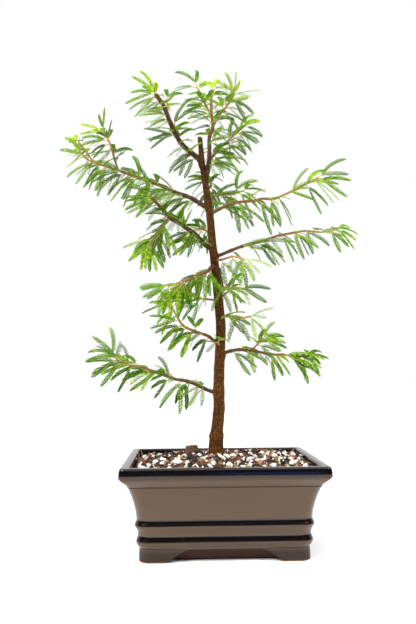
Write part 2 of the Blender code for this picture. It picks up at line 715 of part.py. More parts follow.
class Clearance:
    """Points already taken, each with a radius and the node that holds it."""

    def __init__(self):
        self.points = np.zeros((0, 3))
        self.radii = np.zeros(0)
        self.owners = np.zeros(0, int)

    def add(self, points, radii, owner):
        self.points = np.vstack([self.points, points])
        self.radii = np.concatenate([self.radii, radii])
        self.owners = np.concatenate([self.owners, np.full(len(points), owner)])

    def is_clear(self, samples, owner):
        """Whether the samples keep their distance from other nodes, and a smaller one from their own."""
        low = samples.min(axis=0) - 10
        high = samples.max(axis=0) + 10
        near = ((self.points > low) & (self.points < high)).all(axis=1)
        if not near.any():
            return True
        apart = np.linalg.norm(samples[:, None] - self.points[near][None], axis=2) - self.radii[near][None]
        needed = np.where(self.owners[near] == owner, CLEAR_OF_OWN, CLEAR_OF_OTHERS)
        return bool((apart > needed[None]).all())


def stem_radii(stem, count):
    return [stem.root_radius + (stem.tip_radius - stem.root_radius) * i / (count - 1) for i in range(count)]


def take_wood(clearance):
    """Marks the trunk and every stem as taken, before any leaf is placed."""
    trunk = smooth_route(TRUNK_ROUTE, WOOD_STEP)
    clearance.add(np.array(trunk), np.array([between(TRUNK_RADIUS, p.z) for p in trunk]), -1)
    for owner, stems in enumerate(BRANCHES.values()):
        for stem in stems:
            route = smooth_route(stem.route, WOOD_STEP)
            clearance.add(np.array(route), np.array(stem_radii(stem, len(route))), owner)


def leaf_direction(tangent, turn, forward):
    """A direction leaving the stem forwards, turned round it from its upper or right side, and hanging."""
    flank = Vector((tangent.z, 0, -tangent.x)).normalized()
    if flank.z < -0.1:
        flank = -flank
    depth = tangent.cross(flank)
    rising = max(0.0, math.cos(turn)) * max(0.0, flank.z)
    direction = tangent * (forward * (1 + RISING_FORWARD * rising))
    direction += flank * (math.cos(turn) * (1 - RISING_LOSS * rising)) + depth * math.sin(turn)
    direction.z -= HANG + STEEP_HANG * abs(tangent.z)
    return direction.normalized()


def place_leaf(root, tangent, turn, forward, length, owner, clearance, draw):
    """A leaf near the wished direction that is clear of everything, or None."""
    for attempt in range(PLACING_TRIES):
        loose = FIRST_LOOSENESS + ADDED_LOOSENESS * attempt
        direction = leaf_direction(tangent, turn + draw.uniform(-1, 1) * TURN_LOOSENESS * loose,
                                   forward * (1 + draw.uniform(-1, 1) * loose))
        face = Vector((draw.uniform(*FACE_SIDEWAYS), draw.uniform(*FACE_FRONT), FACE_UP))
        shrink = 1.0 if attempt < PLACING_TRIES / 2 else SHORTENED
        leaf = Leaf(root, direction, face, length * shrink, draw)
        samples = leaf.samples()
        if clearance.is_clear(samples, owner):
            clearance.add(samples, np.zeros(len(samples)), owner)
            return leaf
    return None


def grow_stem(stem, owner, clearance, draw):
    """The leaves of one stem: one or two at each node, above and below it in turn, and two at its tip."""
    route = smooth_route(stem.route, 1.0)
    last = len(route) - 1
    wishes = []
    station = float(stem.first_leaf)
    above = draw.random() < 0.5
    while station < last - 2:
        index = round(station)
        tangent = (route[min(index + 3, last)] - route[index - 3]).normalized()
        for up in ([above] if draw.random() > PAIR_CHANCE else [above, not above]):
            turn = draw.uniform(-TURN_SCATTER, TURN_SCATTER) + (0.0 if up else math.pi)
            forward = draw.uniform(*LEAF_FORWARD)
            wishes.append((route[index], tangent, turn, forward, draw.uniform(*stem.leaf_length)))
        above = not above
        station += LEAF_PITCH * draw.uniform(*PITCH_SCATTER)
    tangent = (route[last] - route[last - 4]).normalized()
    for base_turn in (0.0, math.pi):
        turn = base_turn + draw.uniform(-TIP_TURN_SCATTER, TIP_TURN_SCATTER)
        wishes.append((route[last - 1], tangent, turn, TIP_FORWARD, draw.uniform(*stem.leaf_length)))
    leaves = [place_leaf(*wish, owner, clearance, draw) for wish in wishes]
    return [leaf for leaf in leaves if leaf]


def place_leaves():
    """The leaves of every branch, by the branch's name."""
    clearance = Clearance()
    take_wood(clearance)
    placed = {}
    for owner, (name, stems) in enumerate(BRANCHES.items()):
        draw = random.Random(LEAF_SEED + owner)
        placed[name] = []
        for stem in stems:
            placed[name] += grow_stem(stem, owner, clearance, draw)
    return placed


def make_branch(name, stems, leaves, wood, foliage, collection, cutters):
    """Fuses a branch's stems and leaves into one solid, seated just off the trunk."""
    parts = bpy.data.collections.new(name + "_parts")
    bpy.context.scene.collection.children.link(parts)
    tubes = []
    for i, stem in enumerate(stems):
        route = smooth_route(stem.route, TWIG_STEP if i else STEM_STEP)
        tubes.append(tube(f"{name}_stem{i}", route, stem_radii(stem, len(route)), 0 if i else 1,
                          parts if i else collection))
    for i, leaf in enumerate(leaves):
        leaf.solid(f"{name}_leaf{i}", parts)
    branch = tubes[0]
    branch.name = name
    modifier = branch.modifiers.new("fused", "BOOLEAN")
    modifier.operation = "UNION"
    modifier.operand_type = "COLLECTION"
    modifier.collection = parts
    modifier.solver = "MANIFOLD"
    apply_modifiers(branch)
    for obj in list(parts.objects):
        bpy.data.objects.remove(obj, do_unlink=True)
    bpy.data.collections.remove(parts)
    weld_short_edges(branch)
    cut(branch, [trunk_tube(name + "_seat", GAP, cutters)])
    paint_stems(branch, stems, wood, foliage)
    return branch


def weld_short_edges(obj):
    """Closes up the short edges that a union leaves, each only where the solid stays closed."""
    shell = bmesh.new()
    shell.from_mesh(obj.data)
    bmesh.ops.triangulate(shell, faces=shell.faces)
    short = [edge for edge in shell.edges if edge.calc_length() < WELD_DISTANCE * MM]
    for edge in sorted(short, key=lambda e: e.calc_length()):
        if not edge.is_valid or edge.calc_length() > WELD_DISTANCE * MM:
            continue
        kept, lost = edge.verts
        shared = {e.other_vert(kept) for e in kept.link_edges} & {e.other_vert(lost) for e in lost.link_edges}
        if len(shared) == 2:
            bmesh.ops.weld_verts(shell, targetmap={lost: kept})
    shell.to_mesh(obj.data)
    shell.free()


def paint_stems(branch, stems, wood, foliage):
    """Gives the faces that lie on a stem the bark's material, and all others the leaflets'."""
    branch.data.materials.clear()
    branch.data.materials.append(foliage)
    branch.data.materials.append(wood)
    for face in branch.data.polygons:
        for stem in stems:
            route = smooth_route(stem.route, WOOD_STEP)
            distance, radius = min(((to_metres(p) - face.center).length / MM, r)
                                   for p, r in zip(route, stem_radii(stem, len(route))))
            if distance < radius + BARK_MARGIN:
                face.material_index = 1


def main():
    clear_scene()
    bonsai = new_collection("powder_puff_bonsai")
    cutters = new_collection("cutters", hidden=True)
    make_pot(bonsai, cutters)
    make_drain_mesh("drain_mesh_left", -1, bonsai)
    make_drain_mesh("drain_mesh_right", 1, bonsai)
    make_soil(bonsai, cutters)
    make_trunk(bonsai)
    make_bark_chunk(bonsai)
    wood = make_material("young_bark", "7A5A38", 0.8)
    foliage = make_material("green_leaflets", "6FA32F", 0.5)
    for name, leaves in place_leaves().items():
        make_branch(name, BRANCHES[name], leaves, wood, foliage, bonsai, cutters)


main()
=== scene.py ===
"""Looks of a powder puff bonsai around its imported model: feathered leaves, bark, soil and a glazed pot.

Routes and profiles are in millimetres, measured from the middle of the pot at the surface it stands on,
with +X to the right, +Y to the back and +Z up. Meshes are made in metres.
"""

import functools
import json
import math
import random
from collections import namedtuple

import bmesh
import bpy
import numpy as np
from bpy.props import FloatProperty, FloatVectorProperty, IntProperty, PointerProperty
from mathutils import Matrix, Vector, noise

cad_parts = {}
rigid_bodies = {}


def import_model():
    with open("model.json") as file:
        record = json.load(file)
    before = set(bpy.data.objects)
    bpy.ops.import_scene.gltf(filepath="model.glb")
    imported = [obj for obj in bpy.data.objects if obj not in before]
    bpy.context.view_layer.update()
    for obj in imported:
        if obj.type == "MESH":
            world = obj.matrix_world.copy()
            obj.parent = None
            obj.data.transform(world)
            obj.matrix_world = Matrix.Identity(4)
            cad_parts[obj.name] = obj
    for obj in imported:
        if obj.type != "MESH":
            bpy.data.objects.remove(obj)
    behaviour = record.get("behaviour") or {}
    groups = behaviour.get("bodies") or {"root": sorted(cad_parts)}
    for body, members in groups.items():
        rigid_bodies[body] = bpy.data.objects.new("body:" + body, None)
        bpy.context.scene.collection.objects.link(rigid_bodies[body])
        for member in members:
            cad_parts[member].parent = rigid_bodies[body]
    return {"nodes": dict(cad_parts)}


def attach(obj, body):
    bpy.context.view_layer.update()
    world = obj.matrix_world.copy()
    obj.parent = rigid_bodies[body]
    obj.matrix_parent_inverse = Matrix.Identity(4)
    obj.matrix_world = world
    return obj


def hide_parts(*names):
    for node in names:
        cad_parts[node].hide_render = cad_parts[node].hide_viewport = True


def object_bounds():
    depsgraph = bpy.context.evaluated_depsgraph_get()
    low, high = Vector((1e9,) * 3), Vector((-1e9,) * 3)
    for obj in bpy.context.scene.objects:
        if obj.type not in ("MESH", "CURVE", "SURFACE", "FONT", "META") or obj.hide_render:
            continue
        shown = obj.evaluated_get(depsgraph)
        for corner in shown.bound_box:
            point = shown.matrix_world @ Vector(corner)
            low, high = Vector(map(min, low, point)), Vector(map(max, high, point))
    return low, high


bl_info = {
    "name": "Powder Puff Bonsai",
    "version": (1, 0, 0),
    "blender": (4, 5, 0),
    "location": "View3D > Sidebar > Bonsai",
    "description": "Builds a small powder puff bonsai in a glazed pot around its packed model",
    "category": "Object",
}

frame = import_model()
CAD_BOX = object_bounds()

MM = 0.001
CURVE_STEPS = 12

# Pot, in millimetres.
RIM_LENGTH = 152.4
RIM_DEPTH = 121.0
POT_HEIGHT = 68.0
# Outer wall from the bands up to the neck: how far in from the rim's edge, height, corner radius.
WALL_CURVE = [
    (22.0, 8.4, 6.0), (15.0, 9.2, 9.0), (13.3, 10.2, 10.0), (12.2, 12.0, 10.0), (11.7, 13.8, 10.0),
    (11.75, 15.0, 10.0), (12.6, 17.6, 10.0), (12.75, 19.6, 10.0), (12.1, 22.2, 10.0), (11.0, 24.4, 10.0),
    (10.6, 25.9, 10.0), (10.8, 26.8, 10.0), (11.65, 29.4, 10.0), (11.5, 32.0, 10.0), (10.9, 36.0, 10.0),
    (9.7, 41.7, 9.0), (7.9, 48.0, 8.0), (6.0, 53.0, 7.0), (4.4, 55.6, 5.5), (2.3, 57.8, 4.5),
    (0.8, 59.6, 3.8),
]
WALL_STEPS = 4
# The rim band, with its rounded edges, and the inner wall down to the floor.
RIM_LEVELS = [
    (0.28, 60.5, 3.6), (0.05, 61.3, 3.5), (0.0, 62.1, 3.5), (0.08, 63.2, 3.5), (0.22, 64.6, 3.5),
    (0.40, 66.0, 3.5), (0.62, 66.9, 3.4), (1.0, 67.6, 3.2), (1.6, 68.0, 3.0),
]
INNER_WALL = [
    (6.0, 68.0, 3.0), (6.6, 67.8, 3.0), (7.05, 67.3, 3.0), (7.3, 66.5, 3.0), (8.3, 62.0, 3.0),
    (11.8, 54.5, 4.0), (15.2, 45.0, 5.0), (17.4, 30.0, 6.0), (18.2, 13.0, 6.0),
]
CORNER_STEPS = 10
SIDE_STEPS = 6
FLOOR = INNER_WALL[-1][1]
SCORED_LINE = 54.2
FOOT_INSET = 13.9
FOOT_TOP = 12.8
FOOT_LENGTH = 21.0
FOOT_THICKNESS = 9.0
FOOT_CORNERS = (8.0, 9.0)
FOOT_ROUNDING = 0.7
HOLLOW_CORNER = 4.0
# How a foot's inner end rises: distance from where it leaves the ground, and height.
FOOT_RISE = [
    (-0.8, -1.0), (0.0, 0.0), (2.7, 2.3), (5.8, 4.6), (9.4, 6.9), (12.6, 8.5), (15.5, 9.3), (18.0, 9.6),
]
UNDERSIDE_INSET = 29.0
UNDERSIDE_HEIGHT = 7.0
OVERSHOOT = 1.0
DRAIN_RADIUS = 5.0
DRAIN_OFFSET = 31.0
DRAIN_SIDES = 32

# Soil, in millimetres.
SOIL_TOP = 66.4
SOIL_MOUND = 3.4
SOIL_PEAK = (12.0, 4.0)
SOIL_RINGS = 44
SOIL_SIDES = 128
WALL_GAP = 0.3
BED_CORNER = 4.0
BED_STEPS = (8, 12)
BED_LEVELS = (FLOOR + 1.5, 30.0, 45.0, 54.5, 58.0)
BED_EDGE = 63.0
GRAIN_FIELD_INSET = 8.2
GRAIN_FIELD_STEP = 3.0
TRUNK_CLEARANCE = 8.0
GRAIN_RELIEF = 0.21
GRAIN_SHAPES = 3
CHUNK_HALF_SIZE = (5.6, 4.2, 5.2)
CHUNK_MIDDLE = (-23.3, 22.0, 69.4)
CHUNK_TURN = 14.0
CHUNK_SLANT = 0.06
FLAKE_TONE = 0.55

# Trunk: points on its middle line, and its radius against height, in millimetres.
TRUNK_ROUTE = [
    (-3, 12, 32), (-3, 12, 50), (-3.5, 12, 68), (-2.9, 11, 84), (-1, 11, 104), (-1, 10, 125), (0, 10, 150),
    (1, 9, 170), (0, 9, 187), (-2, 8, 208), (-4, 8, 228), (-6, 8, 247), (-7, 7, 260), (-9, 7, 277),
    (-12, 6, 299), (-14, 6, 312), (-15, 6, 324), (-16, 6, 335),
]
TRUNK_RADIUS = [
    (32, 5.2), (66, 5.7), (78, 5.7), (84, 5.4), (88, 5.05), (104, 4.8), (125, 4.55), (150, 4.2), (172, 4.1),
    (200, 3.75), (221, 3.6), (260, 3.2), (290, 2.8), (317, 2.3), (335, 2.0),
]
TRUNK_SIDES = 44
SOIL_LINE = 66.0
TRUNK_STEP = 0.8
TRUNK_FOOT = 50.0
# The sawn top: where its edge starts, and how much it is worn in.
CUT_HEIGHT = 333.5
CUT_WEAR = 0.9
# Bark in mm: how far fibres and plates stand out, and how wide and long they are.
FIBRES = (0.18, 1.6, 9.0)
PLATES = (0.36, 3.4, 5.0)
PLATE_EDGE = 0.12
PLATE_STEP = 0.16
# Plates stand out in full under this height, and least from this far above it.
ROUGH_HEIGHT = 80.0
ROUGH_FADE = 70.0
# The foot's three root swellings over the soil line: how far they stand out, and how soon they end.
ROOT_FLARE = 0.9
ROOT_FLARE_HEIGHT = 5.0
COLLAR_SWELL = 0.55
COLLAR_REACH = 14.0
# A pruned stub on the left, just over the soil: height, angle from +X, reach, and how soon it ends.
STUB = (85.0, 190.0, 0.5)
STUB_EDGE = 0.4
STUB_LIP = (1.6, 1.5, 0.8)

# Leafy stems. A stem's route starts inside what carries it, the trunk or an earlier stem of the same branch.
Stem = namedtuple("Stem", "route root_radius tip_radius first_leaf leaf_length")
BRANCHES = {
    "left_low_branch": [
        Stem([(-1, 10, 118), (-8, 8, 120), (-15, 5, 123), (-26, 1, 128), (-37, -3, 130), (-45, -5, 133),
              (-56, -10, 137), (-63, -12, 140), (-71, -15, 141), (-79, -18, 143), (-84, -21, 149)],
             1.9, 0.8, 14, (17, 24)),
    ],
    "left_mid_branch": [
        Stem([(-1, 10, 160), (-5, 12, 162), (-10, 15, 166), (-18, 18, 169), (-30, 24, 175), (-36, 28, 184),
              (-42, 33, 196)], 1.6, 0.8, 10, (16, 22)),
    ],
    "left_thin_branch": [
        Stem([(-1, 9, 195), (-5, 12, 196), (-15, 19, 198), (-24, 26, 201)], 1.1, 0.8, 12, (14, 19)),
    ],
    "front_left_branch": [
        Stem([(-4, 8, 223), (-6, 3, 223), (-11, -5, 217), (-17, -12, 214), (-24, -19, 209), (-32, -27, 205),
              (-42, -36, 201)], 1.7, 0.8, 8, (14, 22)),
    ],
    "left_second_branch": [
        Stem([(-6, 8, 240), (-11, 6, 241), (-20, 0, 249), (-27, -5, 253), (-34, -9, 257), (-41, -13, 260),
              (-47, -17, 266), (-56, -24, 274)], 2.3, 1.4, 10, (15, 22)),
        Stem([(-41, -13, 260), (-45, -17, 255), (-51, -21, 245), (-57, -28, 233)], 1.1, 0.8, 6, (14, 22)),
    ],
    "left_long_branch": [
        Stem([(-9, 7, 275), (-13, 8, 276), (-24, 9, 283), (-38, 12, 289), (-49, 14, 295), (-67, 16, 302),
              (-79, 18, 307), (-88, 20, 311), (-99, 22, 315), (-110, 23, 319), (-118, 24, 324)],
             2.2, 0.8, 12, (16, 24)),
        Stem([(-108, 23, 318), (-113, 23, 325), (-118, 22, 332), (-122, 22, 337)], 0.9, 0.8, 8, (12, 16)),
        Stem([(-87, 20, 311), (-90, 16, 321), (-93, 12, 331), (-98, 8, 341)], 1.0, 0.8, 8, (14, 20)),
    ],
    "left_upper_branch": [
        Stem([(-14, 6, 310), (-18, 4, 316), (-31, -1, 326), (-39, -6, 338), (-46, -12, 354), (-53, -16, 363)],
             2.4, 1.8, 9, (14, 22)),
        Stem([(-43, -10, 347), (-43, -12, 354), (-44, -13, 360)], 0.9, 0.8, 6, (13, 17)),
    ],
    "leader_shoot": [
        Stem([(-12, 6, 299), (-9, 3, 306), (-8, 2, 322), (-8, 2, 333), (-5, 3, 343), (-6, 3, 356),
              (-6, 2, 368), (-4, 2, 376)], 2.3, 0.9, 12, (13, 19)),
        Stem([(-7, 3, 355), (-12, 5, 366), (-15, 7, 375), (-19, 9, 382)], 0.9, 0.8, 8, (13, 18)),
        Stem([(-5, 3, 343), (0, -5, 350), (5, -11, 354), (9, -16, 358), (12, -20, 362)],
             1.1, 0.8, 8, (13, 18)),
    ],
    "right_slanted_branch": [
        Stem([(-13, 6, 305), (-6, 12, 319), (1, 16, 328), (9, 21, 338), (18, 26, 348), (25, 30, 356)],
             1.3, 0.8, 15, (14, 22)),
    ],
    "right_upper_branch": [
        Stem([(-10, 7, 280), (-6, 10, 282), (0, 17, 288), (13, 28, 292), (24, 37, 298)],
             1.3, 0.8, 8, (16, 22)),
    ],
    "right_arching_branch": [
        Stem([(-8, 7, 269), (-4, 5, 270), (6, 0, 274), (15, -3, 276), (28, -7, 276), (35, -10, 277),
              (43, -13, 276), (50, -15, 278), (60, -19, 282), (71, -23, 287), (78, -26, 290)],
             1.6, 0.8, 10, (17, 24)),
    ],
    "right_long_branch": [
        Stem([(-5, 8, 232), (-1, 9, 233), (15, 11, 240), (26, 13, 244), (40, 15, 248), (51, 16, 252),
              (64, 18, 255), (74, 19, 257), (84, 21, 257), (93, 22, 257), (106, 25, 260)],
             1.8, 0.8, 16, (16, 23)),
    ],
    "right_front_twig": [
        Stem([(-4, 8, 229), (2, -1, 228), (10, -14, 228), (18, -27, 223)], 1.1, 0.8, 9, (18, 25)),
    ],
    "right_mid_twig": [
        Stem([(-2, 9, 205), (2, 1, 205), (9, -13, 203), (15, -26, 201)], 1.1, 0.8, 8, (16, 22)),
    ],
    "right_lower_twig": [
        Stem([(0, 9, 181), (4, 1, 181), (11, -11, 180), (17, -21, 178), (22, -30, 178)],
             1.1, 0.8, 9, (15, 22)),
    ],
    "right_low_branch": [
        Stem([(0, 10, 148), (6, 11, 152), (16, 11, 154), (25, 12, 153), (34, 13, 152), (43, 14, 150),
              (52, 14, 150), (60, 15, 149), (68, 15, 148), (75, 16, 149)], 1.8, 0.8, 11, (15, 22)),
        Stem([(27, 12, 153), (30, 8, 157), (36, 3, 163)], 0.9, 0.8, 8, (13, 18)),
    ],
    "back_high_branch": [
        Stem([(-10, 7, 289), (-9, 13, 292), (-6, 24, 299), (-8, 34, 308)], 1.4, 0.8, 9, (14, 21)),
    ],
    "back_middle_branch": [
        Stem([(-6, 8, 252), (-8, 14, 254), (-12, 23, 259), (-19, 32, 262)], 1.5, 0.8, 9, (15, 22)),
    ],
    "back_lower_branch": [
        Stem([(-1, 9, 196), (3, 15, 200), (9, 24, 205), (12, 33, 208)], 1.4, 0.8, 9, (15, 22)),
    ],
    "low_spur": [
        Stem([(0, 10, 157), (-1, 5, 158), (-2, 0, 160)], 0.9, 0.8, 10, (15, 19)),
    ],
}

# Leaves: two feathered leaflet rows in a V on a short stalk, in millimetres and degrees.
STALK_LENGTH = (3.4, 5.4)
FORK_SPREAD = (26.0, 46.0)
FORK_HALF_WIDTH = 0.9
ROW_START = 0.3
ROW_LENGTH_SCATTER = (0.92, 1.05)
LEAFLET_HALF_WIDTH = 2.5
LEAF_DROOP = (0.06, 0.24)
ROW_BOW = 0.16
RIB_STEPS = 13
# How far a row bends towards the ground, and how much more one that points up does.
ROW_SAG = (0.10, 0.45)
UPRIGHT_SAG = 0.5

# Where leaves grow along a stem, and how they stand on it.
LEAF_PITCH = 14.5
PITCH_SCATTER = (0.8, 1.2)
PAIR_CHANCE = 0.5
LEAF_FORWARD = (0.5, 1.6)
TIP_FORWARD = 1.6
TURN_SCATTER = 0.9
TIP_TURN_SCATTER = 0.6
# Leaves above a stem lean further forwards and stand out less, and all hang, most of all on steep shoots.
RISING_FORWARD = 0.7
RISING_LOSS = 0.3
HANG = 0.18
STEEP_HANG = 0.4
FACE_SIDEWAYS = (-0.4, 0.4)
FACE_FRONT = (-1.4, -0.45)
FACE_UP = 0.6
LEAF_SEED = 41

# A leaf that would come too near anything is turned and tried again, ever more loosely, then made shorter.
PLACING_TRIES = 16
FIRST_LOOSENESS = 0.18
ADDED_LOOSENESS = 0.07
TURN_LOOSENESS = 2.4
SHORTENED = 0.82
SAMPLE_STEP = 1.25
WOOD_STEP = 1.5
CLEAR_OF_OTHERS = 1.95
CLEAR_OF_OWN = 0.9

# A second growth of leaves between the first ones, which may stand closer.
FILL_SEED = 977
# Step between the added leaves of a branch; the crown is fullest left of the trunk.
FILL_PITCH = {
    "left_low_branch": 8.0, "left_mid_branch": 5.5, "left_thin_branch": 4.0, "front_left_branch": 5.0,
    "left_second_branch": 3.2, "left_long_branch": 3.4, "left_upper_branch": 3.0, "leader_shoot": 3.0,
    "right_slanted_branch": 4.2, "right_low_branch": 7.0, "right_arching_branch": 10.0,
    "back_high_branch": 3.0, "back_middle_branch": 3.5, "back_lower_branch": 12.0,
    "right_upper_branch": 9.0, "right_long_branch": 12.0,
}
FILL_CEILING = 368.0
OTHER_FILL_PITCH = 40.0
FILL_CLEARANCE = 0.3
FILL_MARGIN = 1.0
FILL_TURN = 0.9
FILL_FORWARD = (0.3, 1.4)
# Room that leaflets need beyond a rib's tip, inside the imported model's box.
TIP_ROOM = 3.2

# A leaf's youth, from 0 for the darkest green, painted shade deep in the crown, to 1 for young and yellow:
# more near a shoot's tip and higher in the crown.
YOUTH = 0.32
YOUTH_SCATTER = (-0.26, 0.24)
TIP_YOUTH = 0.12
TIP_REACH = 38.0
CROWN_YELLOWING = 0.08
CROWN_FOOT = 290.0
CROWN_HEIGHT = 110.0

# Girths in millimetres, or as shares of a stem's radius.
STEM_GIRTH = 0.82
NODE_SWELL = 0.22
NODE_REACH = 4.0
COLLAR_GIRTH = (0.45, 3.5)
FORK_GIRTH = (0.25, 2.0)
STALK_GIRTHS = (0.62, 0.44, 0.40, 0.42)
STALK_BOW = 0.12
RIB_GIRTHS = (0.34, 0.14)

# The origin lies under the middle of the whole tree's box, which is this far left of the pot's middle.
ORIGIN_SHIFT = 5.0

TABLE_RINGS = (0.25, 0.5, 0.9, 1.4, 2.0, 3.0)
TABLE_SIDES = 64

# The camera of the photograph: lens and sensor in mm, place in mm from the pot's middle, and its turns.
LENS = 35.0
SENSOR = 36.0
CAMERA_PLACE = (-28.9, -494.6, 134.6)
CAMERA_PITCH = 5.76
CAMERA_YAW = 2.19
CAMERA_ROLL = -0.30


def to_metres(point):
    """A millimetre point from the pot's middle, as a vector in metres from the origin."""
    return Vector(((point[0] + ORIGIN_SHIFT) * MM, point[1] * MM, point[2] * MM))


def srgb(hex_colour):
    """Linear colour from an sRGB hex value."""
    channels = [int(hex_colour[i:i + 2], 16) / 255 for i in (0, 2, 4)]
    return tuple(((c + 0.055) / 1.055) ** 2.4 if c > 0.04045 else c / 12.92 for c in channels) + (1.0,)


def socket(sockets, key):
    """A socket by its identifier, or else by its name."""
    for item in sockets:
        if item.identifier == key:
            return item
    return sockets[key]


def add(tree, kind, settings=None, links=None):
    """Adds a node, sets its properties and sockets, and links nodes, or (node, output) pairs, to it."""
    node = tree.nodes.new(kind)
    settings = dict(settings or {})
    stops = settings.pop("stops", None)
    points = settings.pop("points", None)
    for key in [key for key in settings if hasattr(node, key)]:
        setattr(node, key, settings.pop(key))
    for key, value in settings.items():
        socket(node.inputs, key).default_value = value
    if stops:
        elements = node.color_ramp.elements
        while len(elements) < len(stops):
            elements.new(1.0)
        for element, (place, colour) in zip(elements, stops):
            element.position = place
            element.color = srgb(colour) if isinstance(colour, str) else tuple(colour)
    if points:
        curve = node.mapping.curves[0]
        while len(curve.points) < len(points):
            curve.points.new(0.5, 0.5)
        for point, place in zip(curve.points, points):
            point.location = place
        node.mapping.update()
    for key, source in (links or {}).items():
        if isinstance(source, tuple):
            source = socket(source[0].outputs, source[1])
        elif isinstance(source, bpy.types.Node):
            source = source.outputs[0]
        tree.links.new(source, socket(node.inputs, key))
    return node


def new_material(name, **constants):
    """A material with one Principled shader, whose even values are set on its own sockets."""
    material = bpy.data.materials.new(name)
    material.use_nodes = True
    tree = material.node_tree
    shader = tree.nodes["Principled BSDF"]
    for key, value in constants.items():
        shader.inputs[key.replace("_", " ")].default_value = value
    return material, tree, shader


def link(tree, source, target, key):
    output = socket(source[0].outputs, source[1]) if isinstance(source, tuple) else source.outputs[0]
    tree.links.new(output, socket(target.inputs, key))


def link_object(name, mesh):
    obj = bpy.data.objects.new(name, mesh)
    bpy.context.scene.collection.objects.link(obj)
    return obj


def mesh_object(name, points, faces):
    """A mesh object from millimetre points, with its faces turned outwards."""
    mesh = bpy.data.meshes.new(name)
    mesh.from_pydata([to_metres(p) for p in points], [], faces)
    turn_outwards(mesh)
    return link_object(name, mesh)


def turn_outwards(mesh):
    shell = bmesh.new()
    shell.from_mesh(mesh)
    bmesh.ops.recalc_face_normals(shell, faces=shell.faces)
    shell.to_mesh(mesh)
    shell.free()


def apply_modifiers(obj):
    """Turns an object's evaluated shape into its own mesh."""
    graph = bpy.context.evaluated_depsgraph_get()
    mesh = bpy.data.meshes.new_from_object(obj.evaluated_get(graph))
    old = obj.data
    obj.modifiers.clear()
    obj.data = mesh
    mesh.name = obj.name
    bpy.data.meshes.remove(old)


def combine(obj, operation, others):
    """Cuts other objects out of an object or joins them to it, and removes them."""
    for other in others:
        modifier = obj.modifiers.new(other.name, "BOOLEAN")
        modifier.operation = operation
        modifier.object = other
    apply_modifiers(obj)
    for other in others:
        bpy.data.objects.remove(other, do_unlink=True)


def shade(obj, degrees=38.0):
    obj.data.shade_smooth()
    obj.data.set_sharp_from_angle(angle=math.radians(degrees))


def finish_piece(obj, node):
    """Lets a finished piece ride with the pot and tree, in place of a CAD node if one is named."""
    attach(obj, "root")
    if node:
        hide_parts(node)


def new_tree(name, inputs):
    """A geometry tree with named inputs, and its input node."""
    tree = bpy.data.node_groups.new(name, "GeometryNodeTree")
    tree.interface.new_socket("Geometry", in_out="OUTPUT", socket_type="NodeSocketGeometry")
    tree.interface.new_socket("Geometry", in_out="INPUT", socket_type="NodeSocketGeometry")
    for label, kind, value in inputs:
        item = tree.interface.new_socket(label, in_out="INPUT", socket_type="NodeSocket" + kind)
        if value is not None:
            item.default_value = value
    return tree, tree.nodes.new("NodeGroupInput")


def grown(holder, tree, name, values):
    """The plain mesh object that a geometry tree makes from a holder, which is removed."""
    modifier = holder.modifiers.new(tree.name, "NODES")
    modifier.node_group = tree
    for item in tree.interface.items_tree:
        if item.in_out == "INPUT" and item.name in values:
            modifier[item.identifier] = values[item.name]
    graph = bpy.context.evaluated_depsgraph_get()
    mesh = bpy.data.meshes.new_from_object(holder.evaluated_get(graph))
    mesh.name = name
    bpy.data.objects.remove(holder, do_unlink=True)
    return link_object(name, mesh)


# Pot

def rounded_rectangle(half_x, half_y, radius, z, corner_steps, side_steps):
    """Points of one level of the pot, from its right side round to the left."""
    points = []
    for quarter, (sign_x, sign_y) in enumerate([(1, 1), (-1, 1), (-1, -1), (1, -1)]):
        for step in range(corner_steps + 1):
            angle = math.radians(90 * quarter + 90 * step / corner_steps)
            points.append((sign_x * (half_x - radius) + radius * math.cos(angle),
                           sign_y * (half_y - radius) + radius * math.sin(angle), z))
        next_x, next_y = [(-1, 1), (-1, -1), (1, -1), (1, 1)][quarter]
        angle = math.radians(90 * (quarter + 1))
        end = (next_x * (half_x - radius) + radius * math.cos(angle),
               next_y * (half_y - radius) + radius * math.sin(angle))
        start = points[-1]
        for step in range(1, side_steps):
            share = step / side_steps
            points.append((start[0] + (end[0] - start[0]) * share, start[1] + (end[1] - start[1]) * share, z))
    return points


def pot_level(inset, z, radius, corner_steps=CORNER_STEPS, side_steps=SIDE_STEPS):
    half_x, half_y = RIM_LENGTH / 2 - inset, RIM_DEPTH / 2 - inset
    return rounded_rectangle(half_x, half_y, radius, z, corner_steps, side_steps)


def ring_faces(rings, count):
    """The faces between closed rings that have the same count of points."""
    faces = []
    for row in range(rings - 1):
        for i in range(count):
            a = row * count + i
            b = row * count + (i + 1) % count
            faces.append((a, b, b + count, a + count))
    return faces


def loft(name, levels):
    """A closed solid through like levels, capped at both ends."""
    count = len(levels[0])
    points = [point for level in levels for point in level]
    faces = ring_faces(len(levels), count)
    faces.append(tuple(range(count)))
    faces.append(tuple(range((len(levels) - 1) * count, len(levels) * count)))
    return mesh_object(name, points, faces)


def catmull_rom(points, steps):
    """A smooth run of points through given ones, with even steps between each two."""
    knots = [Vector(p) for p in points]
    knots = [2 * knots[0] - knots[1]] + knots + [2 * knots[-1] - knots[-2]]
    dense = [knots[1]]
    for i in range(1, len(knots) - 2):
        p0, p1, p2, p3 = knots[i - 1:i + 3]
        for k in range(1, steps + 1):
            t = k / steps
            dense.append(0.5 * (2 * p1 + (p2 - p0) * t + (2 * p0 - 5 * p1 + 4 * p2 - p3) * t ** 2
                                + (3 * p1 - p0 - 3 * p2 + p3) * t ** 3))
    return dense


